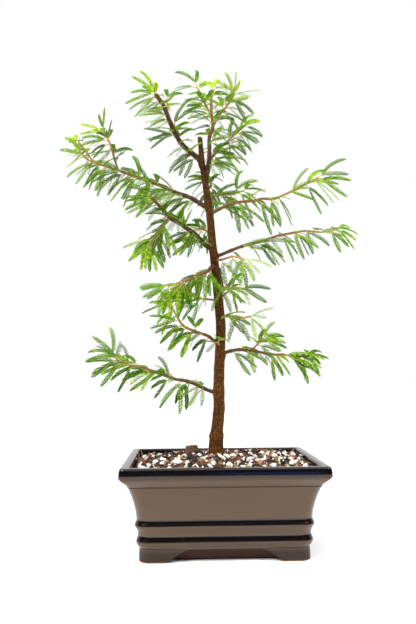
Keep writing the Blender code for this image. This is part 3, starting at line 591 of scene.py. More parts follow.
def wall_levels(scored_depth, scored_width):
    """Levels of the whole wall: skirt, bands, neck with its scored line, rim, inner wall."""
    levels = [(22.0, 1.0, 6.0)]
    for inset, z, radius in catmull_rom(WALL_CURVE, WALL_STEPS):
        levels.append((inset, z, radius))
    half = scored_width / 2
    # The wall's own levels stay clear of the line.
    kept = [level for level in levels if abs(level[1] - SCORED_LINE) > half * 1.6]
    below = max((level for level in kept if level[1] < SCORED_LINE), key=lambda level: level[1])
    above = min((level for level in kept if level[1] > SCORED_LINE), key=lambda level: level[1])
    scored = []
    for share, depth in ((-1.0, 0.0), (-0.35, scored_depth), (0.35, scored_depth), (1.0, 0.0)):
        offset = share * half
        z = SCORED_LINE + offset
        share = (z - below[1]) / (above[1] - below[1])
        inset = below[0] + (above[0] - below[0]) * share + depth
        scored.append((inset, z, below[2] + (above[2] - below[2]) * share))
    levels = sorted(kept + scored, key=lambda level: level[1])
    return levels + RIM_LEVELS + INNER_WALL


def arch_cutter(name, half_length, along_x, side):
    """A low arch between two feet: an outline whose ends rise in long curves, pushed in from one side."""
    outline = [(x - half_length, z) for x, z in FOOT_RISE]
    outline += [(-x, z) for x, z in reversed(outline)]
    half_span = (RIM_DEPTH if along_x else RIM_LENGTH) / 2
    inner = half_span - FOOT_INSET - FOOT_THICKNESS - OVERSHOOT
    points = []
    for distance in (inner, half_span):
        for x, z in outline:
            points.append((x, side * distance, z) if along_x else (side * distance, x, z))
    count = len(outline)
    faces = [(i, (i + 1) % count, (i + 1) % count + count, i + count) for i in range(count)]
    faces += [tuple(range(count)), tuple(range(count, 2 * count))]
    return mesh_object(name, points, faces)


def make_feet():
    """Four bracket feet: a low ring, cut away along each side and hollow under the pot, with worn edges."""
    ring = loft("feet", [pot_level(FOOT_INSET, 0.0, FOOT_CORNERS[0], side_steps=1),
                         pot_level(FOOT_INSET, FOOT_TOP, FOOT_CORNERS[1], side_steps=1)])
    tools = []
    for side in (-1, 1):
        front_half = RIM_LENGTH / 2 - FOOT_INSET - FOOT_LENGTH
        tools.append(arch_cutter(f"arch_x{side}", front_half, True, side))
        end_half = RIM_DEPTH / 2 - FOOT_INSET - FOOT_LENGTH
        tools.append(arch_cutter(f"arch_y{side}", end_half, False, side))
    inside = FOOT_INSET + FOOT_THICKNESS
    tools.append(loft("feet_inside", [pot_level(inside, z, HOLLOW_CORNER, side_steps=1)
                                      for z in (-OVERSHOOT, FOOT_TOP - 2 * OVERSHOOT)]))
    combine(ring, "DIFFERENCE", tools)
    modifier = ring.modifiers.new("worn_edges", "BEVEL")
    modifier.width = FOOT_ROUNDING * MM
    modifier.segments = 3
    modifier.limit_method = "ANGLE"
    modifier.angle_limit = math.radians(40)
    apply_modifiers(ring)
    return ring


def glaze(settings):
    """Iron-dark stoneware glaze, dipped and fired glossy, with painted light: a brown body that is partly
    painted sheen, bands and rim darkened by painted reflection, feet darkened by painted shade.
    """
    material, tree, shader = new_material("iron_stoneware_glaze", IOR=1.56, Specular_Tint=srgb("FFE9D6"))
    thin, band_reflection = settings.body_glaze_and_sheen_colour, settings.band_reflection_colour
    spot = (add(tree, "ShaderNodeTexCoord"), "Object")
    place = add(tree, "ShaderNodeSeparateXYZ", links={"Vector": spot})
    height = add(tree, "ShaderNodeMapRange", {"From Max": POT_HEIGHT * MM}, {"Value": (place, "Z")})
    drift = add(tree, "ShaderNodeTexNoise", {"Scale": 30.0, "Detail": 3.0}, {"Vector": spot})
    wander = add(tree, "ShaderNodeMapRange", {"To Min": -0.006, "To Max": 0.006}, {"Value": (drift, "Fac")})
    level = add(tree, "ShaderNodeMath", {"operation": "ADD"},
                {"Value": (height, "Result"), "Value_001": wander})
    # Stops follow the wall: feet, lower band and shoulder, upper band and shoulder, body, neck, rim.
    # The body's brown is partly the glaze's own colour and partly painted sheen; the navy black of the neck
    # and rim is a painted dark reflection.
    # The dark bands are a painted dark reflection on the upward faces of the two mouldings; the browner
    # shoulders around them are a painted reflection of the bright table.
    # The near-black feet are painted shade near the table.
    bands = add(tree, "ShaderNodeValToRGB", {"stops": [
        (0.0, "0C0706"), (0.09, "150C09"), (0.135, "261C15"), (0.17, "382B21"), (0.215, "3B2E23"),
        (0.228, band_reflection), (0.268, band_reflection), (0.282, "3D3024"), (0.378, "3D3024"), (0.392, band_reflection),
        (0.440, band_reflection), (0.455, thin), (0.865, thin), (0.905, "110E10"), (0.93, "08080C"),
    ]}, {"Fac": level})
    # The feet were wiped clean before firing, so bare reddish clay shows on their undersides.
    bare = add(tree, "ShaderNodeMapRange", {"From Min": 0.0011, "From Max": 0.0002}, {"Value": (place, "Z")})
    # Behind the feet's faces, on the skirt recessed under the body, a dark reddish brown is painted shade.
    sunk = []
    for axis, middle, half in (("X", ORIGIN_SHIFT, RIM_LENGTH / 2), ("Y", 0.0, RIM_DEPTH / 2)):
        offset = add(tree, "ShaderNodeMath", {"operation": "SUBTRACT", "Value_001": middle * MM},
                     {"Value": (place, axis)})
        away = add(tree, "ShaderNodeMath", {"operation": "ABSOLUTE"}, {"Value": offset})
        edge = (half - FOOT_INSET) * MM
        sunk.append(add(tree, "ShaderNodeMapRange", {"From Min": edge - 0.0016, "From Max": edge - 0.0032},
                        {"Value": away}))
    low = add(tree, "ShaderNodeMapRange", {"From Min": 0.0104, "From Max": 0.0098}, {"Value": (place, "Z")})
    inside = add(tree, "ShaderNodeMath", {"operation": "MULTIPLY"}, {"Value": sunk[0], "Value_001": sunk[1]})
    shaded_recess = add(tree, "ShaderNodeMath", {"operation": "MULTIPLY"}, {"Value": inside, "Value_001": low})
    recess_shade = add(tree, "ShaderNodeMix", {"data_type": "RGBA", "B_Color": srgb("3E241A")},
               {"Factor_Float": shaded_recess, "A_Color": bands})
    clay = add(tree, "ShaderNodeMix", {"data_type": "RGBA", "B_Color": srgb("A4683F")},
               {"Factor_Float": bare, "A_Color": (recess_shade, "Result_Color")})
    speck = add(tree, "ShaderNodeTexNoise", {"Scale": 700.0, "Detail": 1.0}, {"Vector": spot})
    fleck = add(tree, "ShaderNodeMapRange", {"From Min": 0.66, "From Max": 0.76, "To Max": 0.08},
                {"Value": (speck, "Fac")})
    flecked = add(tree, "ShaderNodeMix", {"data_type": "RGBA", "B_Color": srgb("7A6450")},
                  {"Factor_Float": fleck, "A_Color": (clay, "Result_Color")})
    link(tree, (flecked, "Result_Color"), shader, "Base Color")
    # The glaze is wiped thin and half matt over the feet.
    wiped = add(tree, "ShaderNodeMapRange", {"From Min": 0.0065, "From Max": 0.0105, "To Min": 0.6,
                                             "To Max": settings.gloss_roughness}, {"Value": (place, "Z")})
    unglazed = add(tree, "ShaderNodeMath", {"operation": "MAXIMUM"}, {"Value": bare, "Value_001": shaded_recess})
    gloss = add(tree, "ShaderNodeMapRange", {"To Max": 0.75}, {"Value": unglazed, "To Min": wiped})
    link(tree, gloss, shader, "Roughness")
    # The fired surface keeps a slow ripple, about 12 mm from crest to crest.
    ripple = add(tree, "ShaderNodeTexNoise", {"Scale": 80.0, "Detail": 2.0}, {"Vector": spot})
    bump = add(tree, "ShaderNodeBump", {"Strength": 0.2, "Distance": 0.0006}, {"Height": (ripple, "Fac")})
    link(tree, bump, shader, "Normal")
    return material


def mesh_plastic():
    """Polyethylene mesh, moulded in one piece: even dull black with a faint grain."""
    material, tree, shader = new_material("moulded_polyethylene", Roughness=0.55)
    spot = (add(tree, "ShaderNodeTexCoord"), "Object")
    grain = add(tree, "ShaderNodeTexNoise", {"Scale": 1200.0, "Detail": 2.0}, {"Vector": spot})
    tone = add(tree, "ShaderNodeValToRGB", {"stops": [(0.3, "141616"), (0.7, "232625")]},
               {"Fac": (grain, "Fac")})
    link(tree, tone, shader, "Base Color")
    bump = add(tree, "ShaderNodeBump", {"Strength": 0.3, "Distance": 0.0001}, {"Height": (grain, "Fac")})
    link(tree, bump, shader, "Normal")
    return material


class BONSAI_OT_pot(bpy.types.Operator):
    """Builds the glazed pot, and gives the mesh over its drain holes its plastic"""
    bl_idname = "bonsai.pot"
    bl_label = "Glazed Pot"

    def execute(self, context):
        settings = context.scene.bonsai_pot
        levels = wall_levels(settings.scored_depth / MM, settings.scored_width / MM)
        pot = loft("glazed_pot", [pot_level(*level) for level in levels])
        tools = [loft("underside", [pot_level(UNDERSIDE_INSET, z, HOLLOW_CORNER, side_steps=1)
                                    for z in (-OVERSHOOT, UNDERSIDE_HEIGHT)])]
        for side in (-1, 1):
            ring = [(side * DRAIN_OFFSET + DRAIN_RADIUS * math.cos(math.tau * i / DRAIN_SIDES),
                     DRAIN_RADIUS * math.sin(math.tau * i / DRAIN_SIDES)) for i in range(DRAIN_SIDES)]
            ends = (UNDERSIDE_HEIGHT - OVERSHOOT, FLOOR + OVERSHOOT)
            tools.append(loft(f"drain{side}", [[(x, y, z) for x, y in ring] for z in ends]))
        combine(pot, "DIFFERENCE", tools)
        combine(pot, "UNION", [make_feet()])
        pot.data.materials.clear()
        pot.data.materials.append(glaze(settings))
        shade(pot)
        finish_piece(pot, "pot")
        plastic = mesh_plastic()
        for name in ("drain_mesh_left", "drain_mesh_right"):
            frame["nodes"][name].data.materials.clear()
            frame["nodes"][name].data.materials.append(plastic)
        return {"FINISHED"}


# Soil

def soil_height(x, y):
    """Low mound that sinks towards the rim, a little higher to the right of the trunk."""
    across = (x - SOIL_PEAK[0]) / (RIM_LENGTH / 2)
    along = (y - SOIL_PEAK[1]) / (RIM_DEPTH / 2)
    return SOIL_TOP - SOIL_MOUND * (across ** 2 + along ** 2)


def crumbs(x, y, relief):
    """Height of the fine crumbs of the potting mix over the mound."""
    coarse = noise.noise(Vector((x / 5.0, y / 5.0, 3.0)))
    fine = noise.noise(Vector((x / 1.8, y / 1.8, 9.0)))
    return relief * (0.65 * coarse + 0.35 * fine)


def throat_ring(z, gap, sides):
    """An even ring of points inside the pot's wall at a height."""
    table = [(level[1], level[0]) for level in reversed(INNER_WALL)]
    ring = pot_level(between(table, z) + gap, z, BED_CORNER, *BED_STEPS)
    ring.append(ring[0])
    lengths = [0.0]
    for a, b in zip(ring, ring[1:]):
        lengths.append(lengths[-1] + math.dist(a, b))
    knots = [Vector(p) for p in ring]
    return [point_at(knots, lengths, lengths[-1] * i / sides) for i in range(sides)]


def make_bed(relief):
    """The potting mix as one closed block, with a crumbly top."""
    rings = [throat_ring(z, WALL_GAP, SOIL_SIDES) for z in BED_LEVELS]
    rim = throat_ring(BED_EDGE, WALL_GAP, SOIL_SIDES)
    for i in range(SOIL_RINGS):
        share = 1 - i / SOIL_RINGS
        ring = []
        for p in rim:
            x, y = p.x * share, p.y * share
            ring.append(Vector((x, y, soil_height(x, y) + crumbs(x, y, relief))))
        rings.append(ring)
    points = [p for ring in rings for p in ring]
    points.append(Vector((0, 0, soil_height(0, 0))))
    faces = ring_faces(len(rings), SOIL_SIDES)
    last = (len(rings) - 1) * SOIL_SIDES
    for i in range(SOIL_SIDES):
        faces.append((last + i, last + (i + 1) % SOIL_SIDES, len(points) - 1))
    faces.append(tuple(range(SOIL_SIDES)))
    return mesh_object("soil_bed", points, faces)


def make_field(margin, spacing):
    """An open sheet over the soil on which loose grains are scattered, clear of the wall and the trunk."""
    foot_x, foot_y, _ = TRUNK_ROUTE[0]
    half_x = RIM_LENGTH / 2 - GRAIN_FIELD_INSET - margin
    half_y = RIM_DEPTH / 2 - GRAIN_FIELD_INSET - margin
    count_x = round(2 * half_x / spacing)
    count_y = round(2 * half_y / spacing)
    points = []
    for j in range(count_y + 1):
        for i in range(count_x + 1):
            x = -half_x + 2 * half_x * i / count_x
            y = -half_y + 2 * half_y * j / count_y
            points.append((x, y, soil_height(x, y)))
    faces = []
    for j in range(count_y):
        for i in range(count_x):
            a = j * (count_x + 1) + i
            x, y, _ = points[a]
            if math.hypot(x + spacing / 2 - foot_x, y + spacing / 2 - foot_y) > TRUNK_CLEARANCE:
                faces.append((a, a + 1, a + count_x + 2, a + count_x + 1))
    return mesh_object("grain_field", points, faces)


def grain_shape(name, size, roughness, seed, blocky):
    """A grain one unit across: a low round or blocky form, pushed in and out by noise."""
    shell = bmesh.new()
    if blocky:
        bmesh.ops.create_cube(shell, size=1.0)
        bmesh.ops.subdivide_edges(shell, edges=shell.edges, cuts=1, use_grid_fill=True)
    else:
        bmesh.ops.create_uvsphere(shell, u_segments=7, v_segments=5, radius=0.5)
    for vertex in shell.verts:
        spot = vertex.co * 1.7 + Vector((seed * 7.3, seed * 3.1, seed))
        push = [noise.noise(spot + Vector((shift, 0.0, 2 * shift))) for shift in (0.0, 31.7, 64.9)]
        vertex.co += Vector(push) * roughness
        vertex.co.x *= size[0]
        vertex.co.y *= size[1]
        vertex.co.z *= size[2]
    bmesh.ops.recalc_face_normals(shell, faces=shell.faces)
    mesh = bpy.data.meshes.new(name)
    shell.to_mesh(mesh)
    shell.free()
    return bpy.data.objects.new(name, mesh)


def grain_tree():
    """Scatters grains of a collection over a field, turned and sized at random."""
    tree, given = new_tree("scattered_grains", [
        ("Grains", "Collection", None), ("Spacing", "Float", 0.003), ("Density", "Float", 20000.0),
        ("Smallest", "Float", 0.002), ("Largest", "Float", 0.004), ("Tilt", "Float", math.pi),
        ("Lift", "Float", 0.0), ("Seed", "Int", 0), ("Material", "Material", None),
    ])
    points = add(tree, "GeometryNodeDistributePointsOnFaces", {"distribute_method": "POISSON"}, {
        "Mesh": (given, "Geometry"), "Distance Min": (given, "Spacing"), "Density Max": (given, "Density"),
        "Seed": (given, "Seed")})
    grains = add(tree, "GeometryNodeCollectionInfo", {"Separate Children": True, "Reset Children": True},
                 {"Collection": (given, "Grains")})
    back = add(tree, "ShaderNodeMath", {"operation": "MULTIPLY", "Value_001": -1.0},
               {"Value": (given, "Tilt")})
    turns = []
    for extra in (11, 23):
        seed = add(tree, "ShaderNodeMath", {"Value_001": float(extra)}, {"Value": (given, "Seed")})
        turns.append(add(tree, "FunctionNodeRandomValue", {"data_type": "FLOAT"},
                         {"Min_001": back, "Max_001": (given, "Tilt"), "Seed": seed}))
    spin = add(tree, "FunctionNodeRandomValue", {"data_type": "FLOAT", "Max_001": math.tau},
               {"Seed": (given, "Seed")})
    euler = add(tree, "ShaderNodeCombineXYZ", links={
        "X": (turns[0], "Value_001"), "Y": (turns[1], "Value_001"), "Z": (spin, "Value_001")})
    turn = add(tree, "FunctionNodeEulerToRotation", links={"Euler": euler})
    size_seed = add(tree, "ShaderNodeMath", {"Value_001": 37.0}, {"Value": (given, "Seed")})
    size = add(tree, "FunctionNodeRandomValue", {"data_type": "FLOAT"},
               {"Min_001": (given, "Smallest"), "Max_001": (given, "Largest"), "Seed": size_seed})
    placed = add(tree, "GeometryNodeInstanceOnPoints", {"Pick Instance": True}, {
        "Points": (points, "Points"), "Instance": grains, "Rotation": turn, "Scale": (size, "Value_001")})
    rise = add(tree, "ShaderNodeCombineXYZ", links={"Z": (given, "Lift")})
    lifted = add(tree, "GeometryNodeSetPosition", links={"Geometry": placed, "Offset": rise})
    tone = add(tree, "FunctionNodeRandomValue", {"data_type": "FLOAT", "Seed": 5})
    toned = add(tree, "GeometryNodeStoreNamedAttribute", {"domain": "INSTANCE", "Name": "tone"},
                {"Geometry": lifted, "Value": (tone, "Value_001")})
    real = add(tree, "GeometryNodeRealizeInstances", links={"Geometry": toned})
    finished = add(tree, "GeometryNodeSetMaterial", links={"Geometry": real, "Material": (given, "Material")})
    add(tree, "NodeGroupOutput", links={"Geometry": finished})
    return tree


def grain_material(name, colours, roughness, grain_mm, depth_mm):
    """Colours run over the grains by their random tone, with a finer mottle inside each grain."""
    material, tree, shader = new_material(name, Roughness=roughness)
    spot = (add(tree, "ShaderNodeTexCoord"), "Object")
    tone = add(tree, "ShaderNodeAttribute", {"attribute_name": "tone"})
    mottle = add(tree, "ShaderNodeTexNoise", {"Scale": 1000.0 / grain_mm, "Detail": 3.0, "Roughness": 0.6},
                 {"Vector": spot})
    sway = add(tree, "ShaderNodeMapRange", {"To Min": -0.22, "To Max": 0.22}, {"Value": (mottle, "Fac")})
    mixed = add(tree, "ShaderNodeMath", {"operation": "ADD"}, {"Value": (tone, "Fac"), "Value_001": sway})
    stops = [(i / (len(colours) - 1), colour) for i, colour in enumerate(colours)]
    ramp = add(tree, "ShaderNodeValToRGB", {"stops": stops}, {"Fac": mixed})
    link(tree, ramp, shader, "Base Color")
    bump = add(tree, "ShaderNodeBump", {"Strength": 0.7, "Distance": depth_mm * MM},
               {"Height": (mottle, "Fac")})
    link(tree, bump, shader, "Normal")
    return material


def soil_material():
    """Composted bark and peat, damp: near-black brown crumbs about 1 mm across."""
    material, tree, shader = new_material("composted_bark", Roughness=0.95)
    spot = (add(tree, "ShaderNodeTexCoord"), "Object")
    crumb = add(tree, "ShaderNodeTexVoronoi", {"Scale": 620.0}, {"Vector": spot})
    drift = add(tree, "ShaderNodeTexNoise", {"Scale": 180.0, "Detail": 4.0}, {"Vector": spot})
    tone = add(tree, "ShaderNodeValToRGB", {"stops": [
        (0.25, "0C0806"), (0.5, "1C120C"), (0.68, "352316"), (0.82, "543A26")]}, {"Fac": (drift, "Fac")})
    link(tree, tone, shader, "Base Color")
    bump = add(tree, "ShaderNodeBump", {"Strength": 0.9, "Distance": 0.0006}, {"Height": (crumb, "Distance")})
    link(tree, bump, shader, "Normal")
    return material


def make_chunk():
    """A flake of dry bark with split edges and layers, lying in the soil behind the trunk."""
    shell = bmesh.new()
    bmesh.ops.create_cube(shell, size=2.0)
    bmesh.ops.subdivide_edges(shell, edges=shell.edges, cuts=11, use_grid_fill=True)
    turn = math.radians(CHUNK_TURN)
    for vertex in shell.verts:
        u, v, w = vertex.co
        pinch = 1 - 0.16 * max(0.0, w)
        corner = 1 - 0.05 * (u * u + v * v)
        layer = 0.05 * math.sin(9.0 * w + 1.5 * noise.noise(Vector((u, v, 2.0))))
        rough = noise.noise(Vector((2.6 * u, 2.6 * v, 5.2 * w)))
        x = CHUNK_HALF_SIZE[0] * u * pinch * (corner + 0.07 * rough)
        y = CHUNK_HALF_SIZE[1] * v * pinch * (corner + layer + 0.10 * rough)
        z = CHUNK_HALF_SIZE[2] * w * (1 - 0.05 * u * u) + 0.35 * rough
        vertex.co = to_metres((CHUNK_MIDDLE[0] + x * math.cos(turn) - y * math.sin(turn),
                               CHUNK_MIDDLE[1] + x * math.sin(turn) + y * math.cos(turn),
                               CHUNK_MIDDLE[2] + z + CHUNK_SLANT * x))
    bmesh.ops.recalc_face_normals(shell, faces=shell.faces)
    mesh = bpy.data.meshes.new("bark_flake")
    shell.to_mesh(mesh)
    shell.free()
    return link_object("bark_flake", mesh)


class BONSAI_OT_soil(bpy.types.Operator):
    """Builds the potting mix: its crumbly bed, the grains scattered over it and the flake of bark"""
    bl_idname = "bonsai.soil"
    bl_label = "Gritty Soil"

    def execute(self, context):
        settings = context.scene.bonsai_soil
        bed = make_bed(settings.relief / MM)
        bed.data.materials.append(soil_material())
        shade(bed, 60.0)
        finish_piece(bed, "soil")
        tree = grain_tree()
        # Name, colours, roughness, mottle and bump in mm, shape, whether blocky,
        # smallest and largest size, spacing, share, tilt, lift.
        kinds = [
            ("fine_grit", ["0A0807", "1C1410", "3A2B20", "5C4636"], 0.9, 0.5, 0.2, (1.1, 0.9, 0.75), True,
             0.9, 2.2, 1.3, 1.0, math.pi, 0.2),
            ("pine_bark_chips", ["080605", "160F0B", "3A2418", settings.chip_colour, "A07C5A"],
             0.85, 0.8, 0.3, (1.4, 0.85, 0.55), True, 2.2, 5.2, 3.0, 1.0, 1.2, 0.7),
            ("perlite", ["B9B0A4", "D6D0C6", settings.perlite_colour, "F6F4F0"], 0.8, 0.6, 0.25,
             (1.15, 0.9, 0.8), False, 2.4, 6.2, 4.7, settings.perlite_share, math.pi, 1.1),
            ("lava_rock", ["5A241A", "7A3325", "96462F"], 0.9, 0.4, 0.4, (1.1, 1.0, 0.9), False,
             2.0, 4.6, 12.0, 1.0, math.pi, 0.8),
            ("tan_grit", ["8A6236", "B48A58", "D0AE84"], 0.8, 0.6, 0.2, (1.1, 0.9, 0.8), True,
             1.6, 3.2, 9.0, 1.0, math.pi, 0.7),
        ]
        for seed, kind in enumerate(kinds):
            (name, colours, roughness, mottle, depth, shape, blocky,
             smallest, largest, spacing, share, tilt, lift) = kind
            collection = bpy.data.collections.new(name + "_shapes")
            for variant in range(GRAIN_SHAPES):
                label = f"{name}_shape{variant}"
                collection.objects.link(grain_shape(label, shape, GRAIN_RELIEF, 10 * seed + variant, blocky))
            grains = grown(make_field(largest * 0.6, GRAIN_FIELD_STEP), tree, name, {
                "Grains": collection, "Spacing": spacing * MM, "Density": share / (spacing * MM) ** 2,
                "Smallest": smallest * MM, "Largest": largest * MM, "Tilt": tilt, "Lift": lift * MM,
                "Seed": settings.seed + seed,
                "Material": grain_material(name, colours, roughness, mottle, depth)})
            for shape_object in list(collection.objects):
                bpy.data.objects.remove(shape_object, do_unlink=True)
            bpy.data.collections.remove(collection)
            if not blocky:
                grains.data.shade_smooth()
            finish_piece(grains, None)
        flake = make_chunk()
        tone = flake.data.attributes.new("tone", "FLOAT", "POINT")
        tone.data.foreach_set("value", [FLAKE_TONE] * len(flake.data.vertices))
        flake.data.materials.append(grain_material(
            "dry_pine_bark", ["2E1B12", "54382A", "7C5C46", "9C7C62"], 0.9, 2.2, 0.5))
        shade(flake, 45.0)
        finish_piece(flake, "bark_chunk")
        return {"FINISHED"}


# Tree

def point_at(points, lengths, distance):
    """The point at a distance along a polyline whose running lengths are given."""
    for i in range(1, len(points)):
        if distance <= lengths[i] or i == len(points) - 1:
            share = (distance - lengths[i - 1]) / max(lengths[i] - lengths[i - 1], 1e-9)
            return points[i - 1].lerp(points[i], min(1.0, share))
    return points[-1]


def smooth_route(points, step):
    """Even steps along a Catmull-Rom curve through given points."""
    dense = catmull_rom(points, CURVE_STEPS)
    lengths = [0.0]
    for a, b in zip(dense, dense[1:]):
        lengths.append(lengths[-1] + (b - a).length)
    count = max(2, round(lengths[-1] / step))
    return [point_at(dense, lengths, lengths[-1] * k / count) for k in range(count + 1)]


def between(table, height):
    """A value read from a table of (height, value) pairs, straight between its rows."""
    for (low, a), (high, b) in zip(table, table[1:]):
        if height <= high:
            return a + (b - a) * max(0.0, (height - low) / (high - low))
    return table[-1][1]


class Leaf:
    """One leaf: a stalk from the stem's middle line that forks into two feathered rows."""

    def __init__(self, root, direction, face, length, draw):
        self.root = root
        self.along = direction.normalized()
        self.across = face.cross(self.along).normalized()
        self.up = self.along.cross(self.across)
        self.stalk = draw.uniform(*STALK_LENGTH)
        self.spread = math.radians(draw.uniform(*FORK_SPREAD))
        self.droop = draw.uniform(*LEAF_DROOP)
        self.lengths = tuple(length * draw.uniform(*ROW_LENGTH_SCATTER) for _ in (-1, 1))
        self.youth = 0.5
        self.sag = 0.0

    def fork(self):
        return self.root + self.along * self.stalk

    def rib(self, side, t):
        """A point on the rib of one row, side +1 or -1, at a share t of its length."""
        angle = side * self.spread / 2
        reach = self.lengths[side > 0] * t
        ahead = self.along * math.cos(angle) + self.across * math.sin(angle)
        start = self.fork() + self.across * (side * 0.5 * FORK_HALF_WIDTH) + self.along * ROW_START
        return start + ahead * reach - self.up * (self.droop * reach * t)

    def aside(self, side):
        angle = side * self.spread / 2
        return self.across * math.cos(angle) - self.along * math.sin(angle)

    def half_width(self, t):
        return LEAFLET_HALF_WIDTH * (0.62 + 0.38 * math.sin(math.pi * min(1.0, 0.12 + 0.95 * t)))

    def samples(self):
        """Points spread over both rows, for testing what they come near."""
        points = [self.root + self.along * (self.stalk * share) for share in (0.7, 1.0)]
        for side in (-1, 1):
            count = math.ceil(self.lengths[side > 0] / SAMPLE_STEP)
            for i in range(count + 1):
                t = i / count
                middle = self.rib(side, t)
                half = self.half_width(t) * (1 - 0.5 * t ** 6)
                for share in (-1, -0.5, 0, 0.5, 1):
                    points.append(middle + self.aside(side) * (half * share))
        return np.array(points)


class Clearance:
    """Points already taken, each with a radius and the branch that holds it."""

    def __init__(self):
        self.points = np.zeros((0, 3))
        self.radii = np.zeros(0)
        self.owners = np.zeros(0, int)

    def add(self, points, radii, owner):
        self.points = np.vstack([self.points, points])
        self.radii = np.concatenate([self.radii, radii])
        self.owners = np.concatenate([self.owners, np.full(len(points), owner)])

    def is_clear(self, samples, owner, from_own=CLEAR_OF_OWN, from_others=CLEAR_OF_OTHERS):
        """Whether the samples keep their distance from other branches, and a smaller one from their own."""
        low = samples.min(axis=0) - 10
        high = samples.max(axis=0) + 10
        near = ((self.points > low) & (self.points < high)).all(axis=1)
        if not near.any():
            return True
        apart = np.linalg.norm(samples[:, None] - self.points[near][None], axis=2) - self.radii[near][None]
        needed = np.where(self.owners[near] == owner, from_own, from_others)
        return bool((apart > needed[None]).all())


def stem_radii(stem, count):
    return [stem.root_radius + (stem.tip_radius - stem.root_radius) * i / (count - 1) for i in range(count)]


def take_wood(clearance):
    """Marks the trunk and every stem as taken, before any leaf is placed."""
    trunk = smooth_route(TRUNK_ROUTE, WOOD_STEP)
    clearance.add(np.array(trunk), np.array([between(TRUNK_RADIUS, p.z) for p in trunk]), -1)
    for owner, stems in enumerate(BRANCHES.values()):
        for stem in stems:
            route = smooth_route(stem.route, WOOD_STEP)
            clearance.add(np.array(route), np.array(stem_radii(stem, len(route))), owner)


def leaf_direction(tangent, turn, forward):
    """A direction leaving the stem forwards, turned round it from its upper or right side, and hanging."""
    flank = Vector((tangent.z, 0, -tangent.x)).normalized()
    if flank.z < -0.1:
        flank = -flank
    depth = tangent.cross(flank)
    rising = max(0.0, math.cos(turn)) * max(0.0, flank.z)
    direction = tangent * (forward * (1 + RISING_FORWARD * rising))
    direction += flank * (math.cos(turn) * (1 - RISING_LOSS * rising)) + depth * math.sin(turn)
    direction.z -= HANG + STEEP_HANG * abs(tangent.z)
    return direction.normalized()


def place_leaf(root, tangent, turn, forward, length, owner, clearance, draw):
    """A leaf near the wished direction that is clear of everything, or None."""
    for attempt in range(PLACING_TRIES):
        loose = FIRST_LOOSENESS + ADDED_LOOSENESS * attempt
        direction = leaf_direction(tangent, turn + draw.uniform(-1, 1) * TURN_LOOSENESS * loose,
                                   forward * (1 + draw.uniform(-1, 1) * loose))
        face = Vector((draw.uniform(*FACE_SIDEWAYS), draw.uniform(*FACE_FRONT), FACE_UP))
        shrink = 1.0 if attempt < PLACING_TRIES / 2 else SHORTENED
        leaf = Leaf(root, direction, face, length * shrink, draw)
        samples = leaf.samples()
        if clearance.is_clear(samples, owner):
            clearance.add(samples, np.zeros(len(samples)), owner)
            return leaf
    return None


def grow_stem(stem, owner, clearance, draw):
    """The leaves of one stem: one or two at each node, above and below it in turn, and two at its tip."""
    route = smooth_route(stem.route, 1.0)
    last = len(route) - 1
    wishes = []
    station = float(stem.first_leaf)
    above = draw.random() < 0.5
    while station < last - 2:
        index = round(station)
        tangent = (route[min(index + 3, last)] - route[index - 3]).normalized()
        for up in ([above] if draw.random() > PAIR_CHANCE else [above, not above]):
            turn = draw.uniform(-TURN_SCATTER, TURN_SCATTER) + (0.0 if up else math.pi)
            forward = draw.uniform(*LEAF_FORWARD)
            wishes.append((route[index], tangent, turn, forward, draw.uniform(*stem.leaf_length)))
        above = not above
        station += LEAF_PITCH * draw.uniform(*PITCH_SCATTER)
    tangent = (route[last] - route[last - 4]).normalized()
    for base_turn in (0.0, math.pi):
        turn = base_turn + draw.uniform(-TIP_TURN_SCATTER, TIP_TURN_SCATTER)
        wishes.append((route[last - 1], tangent, turn, TIP_FORWARD, draw.uniform(*stem.leaf_length)))
    leaves = [place_leaf(*wish, owner, clearance, draw) for wish in wishes]
    return [leaf for leaf in leaves if leaf]


def inside_box(samples):
    """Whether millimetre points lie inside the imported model's box, less a margin."""
    low = (np.array(CAD_BOX[0]) / MM) + FILL_MARGIN - (ORIGIN_SHIFT, 0, 0)
    high = (np.array(CAD_BOX[1]) / MM) - FILL_MARGIN - (ORIGIN_SHIFT, 0, 0)
    return bool((samples > low).all() and (samples < high).all())


def fill_stem(stem, owner, clearance, draw, pitch):
    """More leaves between those of one stem, all round it, that may stand closer to their neighbours."""
    route = smooth_route(stem.route, 1.0)
    last = len(route) - 1
    leaves = []
    station = stem.first_leaf + pitch * draw.random()
    while station < last - 1:
        index = round(station)
        tangent = (route[min(index + 3, last)] - route[index - 3]).normalized()
        turn = draw.uniform(-math.pi, math.pi)
        length = draw.uniform(*stem.leaf_length)
        tries = PLACING_TRIES if route[index].z < FILL_CEILING else 0
        for attempt in range(tries):
            wish = turn + draw.uniform(-FILL_TURN, FILL_TURN)
            direction = leaf_direction(tangent, wish, draw.uniform(*FILL_FORWARD))
            face = Vector((draw.uniform(*FACE_SIDEWAYS), draw.uniform(*FACE_FRONT), FACE_UP))
            shrink = 1.0 if attempt < PLACING_TRIES / 2 else SHORTENED
            leaf = Leaf(route[index], direction, face, length * shrink, draw)
            samples = leaf.samples()
            if inside_box(samples) and clearance.is_clear(samples, owner, FILL_CLEARANCE, FILL_CLEARANCE):
                clearance.add(samples, np.zeros(len(samples)), owner)
                leaves.append(leaf)
                break
        station += pitch * draw.uniform(*PITCH_SCATTER)
    return leaves


